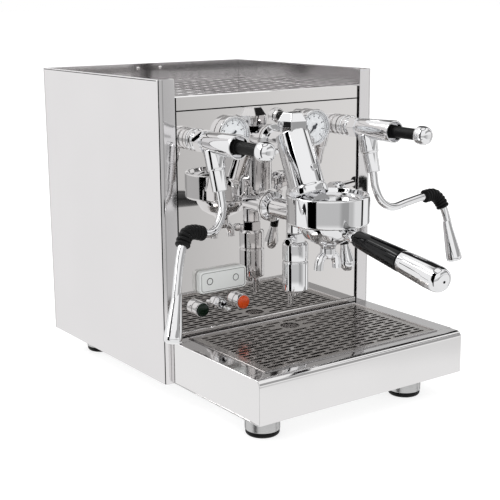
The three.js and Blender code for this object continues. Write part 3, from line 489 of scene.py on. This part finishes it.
def show(name, form, surface, body, slot, stands_for=(), bevel=0.0):
    """Makes a form into a piece that rides on a body, in place of the CAD nodes that it stands for."""
    mesh = bpy.data.meshes.new(name)
    mesh.from_pydata([HOME + point * MM for point in form.points], [], form.faces)
    shaped = bmesh.new()
    shaped.from_mesh(mesh)
    bmesh.ops.remove_doubles(shaped, verts=shaped.verts, dist=1e-7)
    bmesh.ops.recalc_face_normals(shaped, faces=shaped.faces)
    shaped.to_mesh(mesh)
    shaped.free()
    mesh.polygons.foreach_set("use_smooth", [True] * len(mesh.polygons))
    mesh.set_sharp_from_angle(angle=math.radians(SHARP_FROM))
    mesh.materials.append(FINISH[surface])
    piece = bpy.data.objects.new(name, mesh)
    bpy.context.scene.collection.objects.link(piece)
    if bevel:
        edge = piece.modifiers.new("edges", "BEVEL")
        edge.width = bevel * MM
        edge.segments = 3
        edge.limit_method = "ANGLE"
        edge.angle_limit = math.radians(BEVEL_FROM)
        edge.harden_normals = True
    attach(piece, body)
    if stands_for:
        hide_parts(*stands_for)
    return piece


def reface(surface, *nodes):
    """Gives CAD nodes a finish."""
    for node in nodes:
        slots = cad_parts[node].data.materials
        slots.clear()
        slots.append(FINISH[surface])


# ------------------------------------------------------------------ housing
SHEET = 1.5
CORNER = 6
STRIP = 21  # width of the strip beside the front panel
RETURN = 12  # depth of the strip's edge, turned back into the housing
HEM = 3
RIVETS = {"across": (-15, 21.5), "height": 389.5}
CUP_SLOTS = {"slot": (38, 6.5), "pitch": (44, 12.5), "rows": 21, "columns": 7}
SKIN = 0.3  # thickness of the cup tray's slotted top
HOLE_SIDES = 48


def side_wall(side):
    """Front strip, rounded corner and side wall, bent from one sheet, with its top edge folded in."""
    low, high = extent("right_side_panel")
    half, back = high.x, high.y
    inner = half - SHEET
    tall = high.z - low.z
    outline = [(half - STRIP, RETURN), (half - STRIP, 0)]
    outline += arc(half - CORNER, CORNER, CORNER, -90, 0)
    outline += [(half, back), (inner, back)]
    outline += arc(half - CORNER, CORNER, CORNER - SHEET, 0, -90)
    outline += [(half - STRIP + SHEET, SHEET), (half - STRIP + SHEET, RETURN)]
    form = prism(outline, tall)
    form.join(brick((half - HEM, RETURN + 2, tall - SHEET), (inner + 0.2, back, tall - 0.02)))
    name = "left_side_panel" if side < 0 else "right_side_panel"
    mirrored = Matrix.Diagonal((side, 1, 1, 1)) @ at(0, 0, low.z)
    piece = Form().join(form, mirrored)
    show(name.replace("panel", "wall"), piece, "wall", "machine", "satin_steel", (name,), bevel=0.35)
    line = brick((half - 0.4, CORNER, tall - 1.9), (half + 0.06, back, tall - 1.1))
    show(name.replace("panel", "seam"), Form().join(line, mirrored), "dark", "machine", "satin_steel")


def slotted_sheet(low, high, slot, pitch, rows, columns, holes=()):
    """A flat sheet with staggered slots. Round holes are (x, y, radius); slots near them are left out."""
    x_middle, y_middle = (low[0] + high[0]) / 2, (low[1] + high[1]) / 2
    x_first, y_first = x_middle - columns * pitch[0] / 2, y_middle - rows * pitch[1] / 2
    margin = (pitch[0] - slot[0]) / 2
    shortest, clear = 2 * slot[1] - 1, slot[1] / 2 + 2
    outlines = []
    for row in range(rows):
        y = y_first + (row + 0.5) * pitch[1]
        shift = 0.5 if row % 2 else 0
        for column in range(columns + (1 if row % 2 else 0)):
            left = x_first + (column - shift) * pitch[0] + margin
            right = min(left + slot[0], x_first + columns * pitch[0] - margin)
            left = max(left, x_first + margin)
            gaps = [math.hypot(max(left - x, x - right, 0), y - hole_y) - r for x, hole_y, r in holes]
            if right - left > shortest and all(gap > clear for gap in gaps):
                outlines.append([Vector((dx + (left + right) / 2, dy + y, 0)) for dx, dy in
                                 rounded(right - left, slot[1], slot[1] / 2 - 0.01, 3)])
    for x, y, radius in holes:
        circle = arc(0, 0, radius, 0, 360 - 360 / HOLE_SIDES, HOLE_SIDES - 1)
        outlines.append([Vector((x + dx, y + dy, 0)) for dx, dy in circle])
    corners = ((low[0], low[1]), (high[0], low[1]), (high[0], high[1]), (low[0], high[1]))
    border = [Vector((x, y, 0)) for x, y in corners]
    triangles = geometry.tessellate_polygon([border] + outlines)
    flat = [point for outline in [border] + outlines for point in outline]
    count = len(flat)
    points = [(p.x, p.y, high[2]) for p in flat] + [(p.x, p.y, low[2]) for p in flat]
    faces = [tuple(triangle) for triangle in triangles]
    faces += [tuple(count + corner for corner in reversed(triangle)) for triangle in triangles]
    start = 0
    for outline in [border] + outlines:
        size = len(outline)
        faces += [(start + i, start + (i + 1) % size, count + start + (i + 1) % size, count + start + i)
                  for i in range(size)]
        start += size
    return Form().add(points, faces)


def build_housing():
    for side in (-1, 1):
        side_wall(side)
    low, high = extent("front_panel")
    top = extent("top_fascia")[1].z
    seams = Form()
    for side in (-1, 1):
        first, last = sorted((side * (high.x - 0.6), side * (high.x + 0.3)))
        face = 2.6 if side > 0 else -0.1
        seams.join(brick((first, face, low.z), (last, 4, top)))
    show("panel_seams", seams, "dark", "machine", "polished_steel")
    hem = prism([(0.4, 0.2), (0.4, 5.4), (1.2, 6.2), (4.4, 6.2), (4.4, 0.2)], high.x - low.x - 2)
    hem = Form().join(hem, lengthwise(low.x + 1, low.z - 6.5))
    show("panel_hem", hem, "mirror", "machine", "polished_steel", bevel=0.4)
    back = extent("rear_panel")[1].y
    rivets = Form()
    for across in RIVETS["across"]:
        rivets.join(lathe([(0, -0.5), (3, -0.5), (3, 0.4), (1.8, 1.4), (0, 1.7)], 0.5, 32),
                    at(across, back - SHEET, RIVETS["height"]) @ FORWARD)
    show("rear_rivets", rivets, "bright", "machine", "satin_steel")
    reface("mirror", "front_panel", "top_fascia")
    reface("wall", "rear_panel")
    reface("brushed", "base_frame")
    low, high = extent("cup_tray")
    sheet = slotted_sheet((low.x, low.y, high.z - SKIN), high, **CUP_SLOTS)
    sheet.join(edging(low, high, low.z, high.z - SKIN, SHEET))
    show("cup_shelf", sheet, "mirror", "cup_tray", "polished_steel", ("cup_tray",))
    # A black sheet under the slotted top: painted shade, so the slots read dark like the shaded inside of the
    # tray.
    shade_sheet = brick((low.x + 2, low.y + 2, high.z - SHEET - 2.4),
                  (high.x - 2, high.y - 2, high.z - SHEET - 1.6))
    show("cup_shelf_painted_shade", shade_sheet, "dark", "cup_tray", "polished_steel")


def build_feet():
    for node in [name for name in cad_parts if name.startswith("foot_") and "pad" not in name]:
        low, high = extent(node)
        radius, tall = (high.x - low.x) / 2, high.z - low.z
        drum = lathe([(0, 0), (radius, 0), (radius, tall), (0, tall)], 1.2)
        middle = at((low.x + high.x) / 2, (low.y + high.y) / 2, low.z)
        show(node + "_drum", Form().join(drum, middle), "brushed", "machine", "brushed_metal", (node,))
        pad_node = node.replace("foot_", "foot_pad_")
        pad_low, pad_high = extent(pad_node)
        pad_radius, pad_tall = (pad_high.x - pad_low.x) / 2, pad_high.z - pad_low.z
        rim = pad_radius + 0.8
        pad = lathe([(0, 0), (pad_radius - 1, 0), (rim, 2), (rim, pad_tall), (0, pad_tall)], 1)
        under = at(middle.translation.x, middle.translation.y, 0)
        show(node + "_rubber", Form().join(pad, under), "rubber", "machine", "black_rubber", (pad_node,))


# ------------------------------------------------------------------ drip tray
TRAY_EDGE = 8  # radius along the top of the front
GRID_SEAT = 0.3  # gap around the grid
GRID_SLOTS = {"slot": (22.5, 4.8), "pitch": (27, 7.8), "rows": 18, "columns": 9}
FINGER_HOLE = {"behind": 48, "radius": 12}  # from the middle of the grid
LIP = {"thick": 1.5, "below": 0.5, "above": 1.2}


def build_tray():
    low, high = extent("drip_tray")
    grid_low, grid_high = extent("drip_grid")
    left, right = grid_low.x - GRID_SEAT, grid_high.x + GRID_SEAT
    front, back = grid_low.y - GRID_SEAT, grid_high.y + GRID_SEAT
    tall = high.z - low.z
    nose = [(low.y, 0)] + arc(low.y + TRAY_EDGE, tall - TRAY_EDGE, TRAY_EDGE, 180, 90, 16)
    nose += [(front, tall), (front, 0)]
    form = Form().join(prism(nose, high.x - low.x), lengthwise(low.x, low.z))
    form.join(brick((low.x, front, low.z), (left, high.y, high.z)))
    form.join(brick((right, front, low.z), (high.x, high.y, high.z)))
    form.join(brick((left, back, low.z), (right, high.y, high.z)))
    form.join(brick((left, front, low.z), (right, back, low.z + 4)))
    show("tray_shell", form, "bright", "drip_tray", "polished_steel", ("drip_tray",), bevel=0.8)
    hole_y = (grid_low.y + grid_high.y) / 2 + FINGER_HOLE["behind"]
    grid = slotted_sheet(grid_low, grid_high, **GRID_SLOTS, holes=[(0, hole_y, FINGER_HOLE["radius"])])
    top = grid_high.z
    lip = edging(grid_low, grid_high, top - LIP["below"], top + LIP["above"], LIP["thick"])
    show("tray_grid_lip", lip, "wall", "drip_grid", "polished_steel", bevel=0.6)
    show("tray_grid", grid, "grid", "drip_grid", "polished_steel", ("drip_grid",))


# ------------------------------------------------------------------ brew group
NECK = {"top": (-37, 330), "bottom": (-71, 261)}
BELL_Y = -108
CAM = {"y": -54, "z": 252}
CHAMBER = (2, -43)
LEVER = {"x": 58, "lean": -14}


def slant(start, end):
    """Stands a form on `start`, (y, z), leaning towards `end`."""
    lean = math.degrees(math.atan2(end[0] - start[0], end[1] - start[1]))
    return at(0, start[0], start[1]) @ tilt("X", -lean)


def hexagon(radius, bottom, top):
    return lathe([(0, bottom), (radius, bottom), (radius, top), (0, top)], 0, 6)


def build_group():
    chrome = ("chrome", "machine", "chrome")
    neck_length = math.hypot(NECK["top"][0] - NECK["bottom"][0], NECK["top"][1] - NECK["bottom"][1])
    neck = lathe([(0, -6), (22.6, -6), (23.5, -5), (23.5, 2.5), (22.2, 5), (21, neck_length - 4),
                  (0, neck_length + 4)], 1.2)
    leaning = slant(NECK["bottom"], NECK["top"])
    casting = Form().join(neck, leaning)
    plug = lathe([(0, 10), (4.2, 10), (4.2, 24), (3.4, 24.8), (0, 24.8)], 0.6, 32)
    casting.join(plug, leaning @ at(0, 0, 0.3 * neck_length) @ FORWARD)
    show("group_neck", casting, *chrome, ("group_body",))
    bell = lathe([(0, 248), (39.5, 248), (39.5, 233), (37, 233), (37, 229), (47.4, 229), (49, 231),
                  (49, 261.6), (47.6, 263), (45.4, 263), (43.4, 257.5), (30, 255), (0, 254)], 0.9, 96)
    show("group_bell", Form().join(bell, at(0, BELL_Y, 0)), *chrome)
    cam_box = lathe([(0, -11), (14, -11), (16, -9), (16, 27), (13, 27), (13, 37), (11, 40), (6.4, 40),
                     (6.4, 6), (0, 6)], 0.8)
    body = Form().join(cam_box, at(0, CAM["y"], CAM["z"]) @ ACROSS)
    body.join(lathe([(0, 247), (16.5, 247), (16.5, 322), (0, 322)], 1.6), at(12, -40, 0))
    body.join(lathe([(0, 206.3), (11, 206.3), (11, 252), (0, 252)], 0.8), at(*CHAMBER, 0))
    for height in (316, 232):
        elbow = lathe([(0, -2.5), (19, -2.5), (19, 1.3), (12.5, 3.5), (12, 46), (0, 46)], 0.8)
        body.join(elbow, at(0, 0, height) @ FORWARD)
    bridge = smooth_path([(0, -60, 250), (0, -78, 249), (0, -94, 247)], 6)
    body.join(bar(bridge, 15))
    show("group_castings", body, *chrome)
    cap = lathe([(0, 0), (20, 0), (20, 13), (13, 23), (0, 23)], 0, 6)
    show("group_hex_cap", Form().join(cap, at(0, -40, 330) @ tilt("Z", -12)), *chrome, ("group_cap",),
         bevel=0.9)
    reface("rubber", "group_gasket")
    reface("brushed", "shower_screen")
    build_chamber()
    build_lever()


def build_chamber():
    form = lathe([(0, 127), (7.5, 127), (9, 133), (14.5, 133), (16, 135), (16, 169.6), (15, 170.2),
                  (15, 171.8), (16, 172.4), (16, 192), (14, 195.5), (0, 195.5)], 0.7)
    form.join(hexagon(12.5, 195, 206))
    form.join(lathe([(0, 113), (3.5, 113), (4.5, 128), (4.5, 134), (0, 134)], 0.6, 32), at(0, 9, 0))
    form.join(lathe([(0, 0), (4, 0), (4, 14), (5.2, 15), (5.2, 21), (4, 23), (0, 23)], 0.5, 32),
              at(0, 0, 198) @ tilt("Z", -62) @ FORWARD)
    show("drain_chamber", Form().join(form, at(*CHAMBER, 0)), "chrome", "machine", "chrome",
         ("lower_chamber",), bevel=0.5)


def build_lever():
    hub = lathe([(0, 12), (6, 12), (6, 50), (13, 50), (13, 63), (10, 66), (0, 66)], 1)
    form = Form().join(hub, ACROSS)
    rod = lathe([(0, -99), (5, -98), (8.5, -93), (9.5, -88), (6.5, -72), (5, -65), (4, -65), (4, 0), (0, 0)],
                1.6, 48)
    form.join(rod, at(LEVER["x"], 0, 0) @ tilt("X", LEVER["lean"]))
    show("lever_arm", Form().join(form, at(0, CAM["y"], CAM["z"])), "chrome", "brew_lever", "chrome",
         ("brew_lever",))
    sleeve = lathe([(4, -66), (5.4, -66), (5.4, -34), (4, -34), (4, -66)], 0.5, 48)
    place = at(LEVER["x"], CAM["y"], CAM["z"]) @ tilt("X", LEVER["lean"])
    show("lever_sleeve", Form().join(sleeve, place), "gloss", "brew_lever", "black_gloss")


# ------------------------------------------------------------------ portafilter
HANDLE = {"y": -160, "z": 219, "tilt": 9.3}
SPOUT_TOP = 198.7


def build_portafilter():
    chrome = ("chrome", "portafilter", "chrome")
    cup = lathe([(3.2, 199), (9, 199), (11, 203), (18, 206), (28, 212), (33, 220), (35, 225), (35, 243),
                 (32, 243), (32, 224), (24, 212), (3.2, 207), (3.2, 199)], 1.4, 96)
    form = Form().join(cup, at(0, BELL_Y, 0))
    socket = lathe([(0, -22), (6.4, -22), (6.4, -12), (8, -10), (8, -3), (7, -0.3), (4, -0.3), (4, 28),
                   (0, 28)], 0.6, 48)
    stem = at(0, HANDLE["y"], HANDLE["z"]) @ tilt("X", HANDLE["tilt"]) @ FORWARD
    form.join(socket, stem)
    for side in (-1, 1):
        lug = prism(arc(0, 0, 38.4, -14, 14) + arc(0, 0, 33.5, 14, -14), 5)
        form.join(lug, at(0, BELL_Y, 233.3) @ tilt("Z", 90 - 90 * side))
    show("portafilter_cup", form, *chrome, ("portafilter",))
    reface("brushed", "filter_basket")
    boss = lathe([(0, -14), (7, -12), (9, -7), (9, 0), (0, 0)], 0.8, 48)
    arch = smooth_path([(-14, 0, -25), (-13.2, 0, -18), (-10.5, 0, -11.5), (-5, 0, -8), (0, 0, -7.2),
                        (5, 0, -8), (10.5, 0, -11.5), (13.2, 0, -18), (14, 0, -25)], 6)
    spout = boss.join(bar(arch, 5.5))
    show("twin_spout", Form().join(spout, at(0, BELL_Y, SPOUT_TOP)), *chrome, ("spout",))
    grip = lathe([(4.3, 0), (8.2, 0), (9.7, 1.5), (11.1, 25), (12.2, 55), (13, 76), (4.3, 76), (4.3, 0)], 1.2)
    show("handle_barrel", Form().join(grip, stem), "gloss", "portafilter", "black_gloss", ("handle_grip",))
    knob = lathe([(0, 76.3), (12.6, 76.3), (13.3, 86), (14.6, 118), (14.4, 132), (12.6, 137.6), (9.6, 139.8),
                  (0, 140.3)], 1.6)
    # A black disc on the knob's tip: painted shade of a small hole.
    hole = lathe([(0, 139.9), (1.5, 139.9), (1.5, 140.5), (0, 140.5)], 0, 24)
    show("handle_knob", Form().join(knob, stem), *chrome, ("handle_cap",))
    show("handle_hole_painted_shade", Form().join(hole, stem), "dark", "portafilter", "black_plastic")


# ------------------------------------------------------------------ valves and wands
VALVE = {"x": 116, "z": 325.5}
OUTLET = {"y": -40, "tilt": 16, "length": 57, "seat": 12}
# Each wand's heading about its outlet, the shares of its length that the grip covers, and its bends as
# distance out from the outlet and distance below it.
ROUTES = {
    "left": {
        "turn": 195,
        "grip": (0.36, 0.545),
        "points": [(0, 2), (1.5, 20), (12, 36), (24, 44.5), (42, 44), (54, 41.5), (66, 43), (79, 60),
                   (115, 153)],
    },
    "right": {
        "turn": 0,
        "grip": (0.535, 0.705),
        "points": [(0, 2), (-0.5, 20), (6, 38), (21, 46.5), (47, 43.5), (78, 39.5), (98, 40), (110.5, 60),
                   (114, 127)],
    },
}
WAND_RADIUS = 5.0
GRIP = {"ribs": 9, "steps": 8, "radius": 6.7, "bulge": 1.9, "ends": 6.2}
JOYSTICK_RINGS = {"count": 4, "first": 83.2, "pitch": 3}


def build_valve(side):
    middle = at(VALVE["x"] if side == "right" else -VALVE["x"], 0, VALVE["z"])
    shell = lathe([(0, -2.5), (13.5, -2.5), (13.5, 4), (12, 5), (12, 7), (13.5, 8), (13.5, 13), (11.5, 15),
                   (11, 17), (11, 30), (11.8, 36), (13.4, 70), (14, 88), (14, 94), (12, 94), (11.5, 74),
                   (0, 74)], 0.9)
    form = Form().join(shell, FORWARD)
    form.join(hexagon(14, 17, 30), FORWARD)
    outlet = at(0, OUTLET["y"], 0) @ tilt("X", -OUTLET["tilt"])
    form.join(lathe([(5.4, -57), (9, -57), (9.6, -33), (11.2, -31), (12, -9), (0, 0)], 0.9), outlet)
    show(f"valve_{side}", Form().join(form, middle), "chrome", "machine", "chrome", (f"valve_body_{side}",),
         bevel=0.3)
    build_joystick(side, middle @ FORWARD)
    build_wand(side, middle @ outlet @ at(0, 0, OUTLET["seat"] - OUTLET["length"]))


def build_joystick(side, place):
    body = f"joystick_{side}"
    stem = lathe([(0, 78), (5.5, 78), (7.5, 82), (7.5, 95), (7.4, 99), (7, 104), (7, 132.5), (0, 132.5)],
                 0.8, 48)
    for ring in range(JOYSTICK_RINGS["count"]):
        start = JOYSTICK_RINGS["first"] + JOYSTICK_RINGS["pitch"] * ring
        stem.join(lathe([(7, start), (8.3, start + 0.3), (8.3, start + 1.4), (7, start + 1.7), (7, start)],
                        0.3, 48))
    show(f"joystick_stem_{side}", Form().join(stem, place), "rubber", body, "black_rubber",
         (f"joystick_grip_{side}",))
    knob = lathe([(0, 132.8), (7.5, 132.8), (10.1, 134.8), (11.5, 138.3), (11.5, 144.5), (9.9, 149),
                  (6.5, 151.7), (0, 152.5)], 2.5, 64)
    show(f"joystick_knob_{side}", Form().join(knob, place), "chrome", body, "chrome",
         (f"joystick_ball_{side}",))


def build_wand(side, outlet):
    route = ROUTES[side]
    seat = outlet @ tilt("Z", route["turn"])
    points = [(0, 0, 0)] + [(out, 0, -fall - OUTLET["seat"]) for out, fall in route["points"]]
    path = smooth_path(points, 8)
    last, before = Vector(points[-1]), Vector(points[-2])
    lean = math.degrees(math.atan2(last.x - before.x, before.z - last.z))
    nozzle = lathe([(0, -3), (7, -2.6), (9.6, -0.8), (10.2, 2), (9.7, 10), (7.5, 30), (5.3, 50), (5, 52),
                   (0, 52)], 1.2, 48)
    tube = bar(path, WAND_RADIUS)
    tube.join(nozzle, Matrix.Translation(last) @ tilt("Y", -lean))
    show(f"wand_tube_{side}", Form().join(tube, seat), "chrome", f"wand_{side}", "chrome", (f"wand_{side}",))
    steps = GRIP["steps"]
    around = part_of(path, *route["grip"], GRIP["ribs"] * steps)
    bulges = [GRIP["radius"] + GRIP["bulge"] * abs(math.sin(math.pi * index / steps)) ** 0.6
              for index in range(len(around))]
    bulges[0] = bulges[-1] = GRIP["ends"]
    sleeve = bar(around, bulges, 48)
    show(f"wand_sleeve_{side}", Form().join(sleeve, seat), "rubber", f"wand_{side}", "black_rubber",
         (f"wand_grip_{side}",))


# ------------------------------------------------------------------ gauges, lamps, switch and control unit
DIAL = {"radius": 20, "face": 3.3, "first": -135, "sweep": 270}  # angles from straight up
TICKS = {"count": 40, "reach": 18.2, "long": 3.4, "short": 1.8, "wide": 0.4, "narrow": 0.22, "every": 5}
FIGURES = {"count": 8, "from": 12.6, "to": 13.9, "half": 0.9}
PRINT = 0.12  # thickness of the dial's print
SWITCH = {"x": -82, "z": 121, "lean": 12}


def build_gauge(side):
    low, high = extent(f"gauge_case_{side}")
    x, z = (low.x + high.x) / 2, (low.z + high.z) / 2
    middle = at(x, 0, z) @ FORWARD
    face = DIAL["face"]
    bezel = lathe([(20, face), (20, 7.2), (20.6, 8.3), (22, 8.3), (23, 6.5), (23, -2.5), (19, -2.5),
                   (19, face), (20, face)], 0.7, 96)
    show(f"gauge_bezel_{side}", Form().join(bezel, middle), "chrome", "machine", "gauge_case",
         (f"gauge_case_{side}",))
    dial = lathe([(0, 1), (DIAL["radius"], 1), (DIAL["radius"], face), (0, face)], 0.2, 96)
    show(f"gauge_dial_{side}", Form().join(dial, middle), "dial", "machine", "gauge_case")
    marks = Form()
    for step in range(TICKS["count"] + 1):
        main = step % TICKS["every"] == 0
        length, half = (TICKS["long"], TICKS["wide"]) if main else (TICKS["short"], TICKS["narrow"])
        tick = brick((-half, TICKS["reach"] - length, face), (half, TICKS["reach"], face + PRINT))
        marks.join(tick, middle @ tilt("Z", DIAL["first"] + DIAL["sweep"] * step / TICKS["count"]))
    for step in range(FIGURES["count"] + 1):
        half = FIGURES["half"]
        figure = brick((-half, FIGURES["from"], face), (half, FIGURES["to"], face + PRINT))
        marks.join(figure, middle @ tilt("Z", DIAL["first"] + DIAL["sweep"] * step / FIGURES["count"]))
    show(f"gauge_marks_{side}", marks, "mark", "machine", "needle_black")
    reface("mark", f"gauge_needle_{side}")


def build_lamp(node, surface, slot):
    low, high = extent(node)
    middle = at((low.x + high.x) / 2, 0, (low.z + high.z) / 2) @ FORWARD
    barrel = lathe([(0, -2.6), (9.3, -2.6), (9.3, 7), (8.9, 8.2), (8.5, 8.2), (8.5, 7), (0, 7)], 0.4)
    show(node + "_barrel", Form().join(barrel, middle), "chrome", "machine", slot, (node,))
    lens = lathe([(0, 6.5), (8.4, 6.5), (8.4, 9.3), (7.4, 10.3), (4, 11.2), (0, 11.6)], 1)
    show(node + "_lens", Form().join(lens, middle), surface, "machine", slot)


def build_switch():
    form = hexagon(8.5, -2.6, 1)
    form.join(lathe([(3.6, 1), (6.5, 1), (6.5, 6), (5, 9), (4.6, 9), (3.6, 1)], 0.4, 48))
    form = Form().join(form, at(SWITCH["x"], 0, SWITCH["z"]) @ FORWARD)
    show("switch_collar", form, "chrome", "machine", "chrome", ("switch_bushing",), bevel=0.3)
    bat = lathe([(0, 0), (1.5, 0), (2, 6), (3, 17), (2.6, 20), (0, 21)], 1.2, 32)
    place = at(SWITCH["x"], -1.5, SWITCH["z"]) @ tilt("X", SWITCH["lean"]) @ FORWARD
    show("switch_bat", Form().join(bat, place), "chrome", "switch_lever", "chrome", ("switch_lever",))


def build_controller():
    low, high = extent("controller_housing")
    width, height, deep = high.x - low.x, high.z - low.z, high.y - low.y
    box = prism(rounded(width - 1.5, height - 1.5, 5), deep)
    place = at((low.x + high.x) / 2 + 0.7, high.y, (low.z + high.z) / 2 - 0.6) @ FORWARD
    show("controller_box", Form().join(box, place), "case", "machine", "control_case",
         ("controller_housing",), bevel=1.2)
    outer, inner = rounded(width - 6.4, height - 5.9, 3.6), rounded(width - 7.4, height - 6.9, 3.1)
    count = len(outer)
    rim = Form().add([(x, y, 0) for x, y in outer + inner],
                     [(i, (i + 1) % count, count + (i + 1) % count, count + i) for i in range(count)])
    show("controller_line", Form().join(rim, place @ at(0, 0, deep + 0.06)), "plastic", "machine",
         "control_case")
    for node in ("button_left", "button_right"):
        cap_low, cap_high = extent(node)
        radius = (cap_high.x - cap_low.x) / 2
        face, front = -low.y, -cap_low.y
        where = at((cap_low.x + cap_high.x) / 2, 0, (cap_low.z + cap_high.z) / 2) @ FORWARD
        ring = lathe([(radius + 0.4, face - 0.2), (radius + 1.3, face - 0.2), (radius + 1.1, face + 0.35),
                      (radius + 0.5, face + 0.35), (radius + 0.4, face - 0.2)], 0.1, 32)
        show(node + "_ring", Form().join(ring, where), "dark", "machine", "black_plastic")
        cap = lathe([(0, -cap_high.y), (radius, -cap_high.y), (radius, front - 0.5), (radius * 0.8, front),
                     (0, front - 0.6)], 0.3, 32)
        show(node + "_cap", Form().join(cap, where), "button", node, "brushed_metal", (node,))


def build_inside():
    reface("copper", "boiler", "upper_circulation_pipe", "lower_circulation_pipe", "steam_pipe",
           "hot_water_pipe")
    reface("brass", "heating_element")
    reface("clear", "water_tank")
    reface("plastic", "pump", "control_box", "pressure_switch", "power_inlet")


# ------------------------------------------------------------------ the whole machine
set_camera()
set_studio()
set_floor()
set_lamps()
bpy.context.scene.view_settings.view_transform = "Standard"
FINISH = make_finishes()
build_housing()
build_feet()
build_tray()
build_group()
build_portafilter()
for each_side in ("left", "right"):
    build_valve(each_side)
    build_gauge(each_side)
build_lamp("green_lamp", "green", "green_lens")
build_lamp("orange_lamp", "orange", "orange_lens")
build_switch()
build_controller()
build_inside()
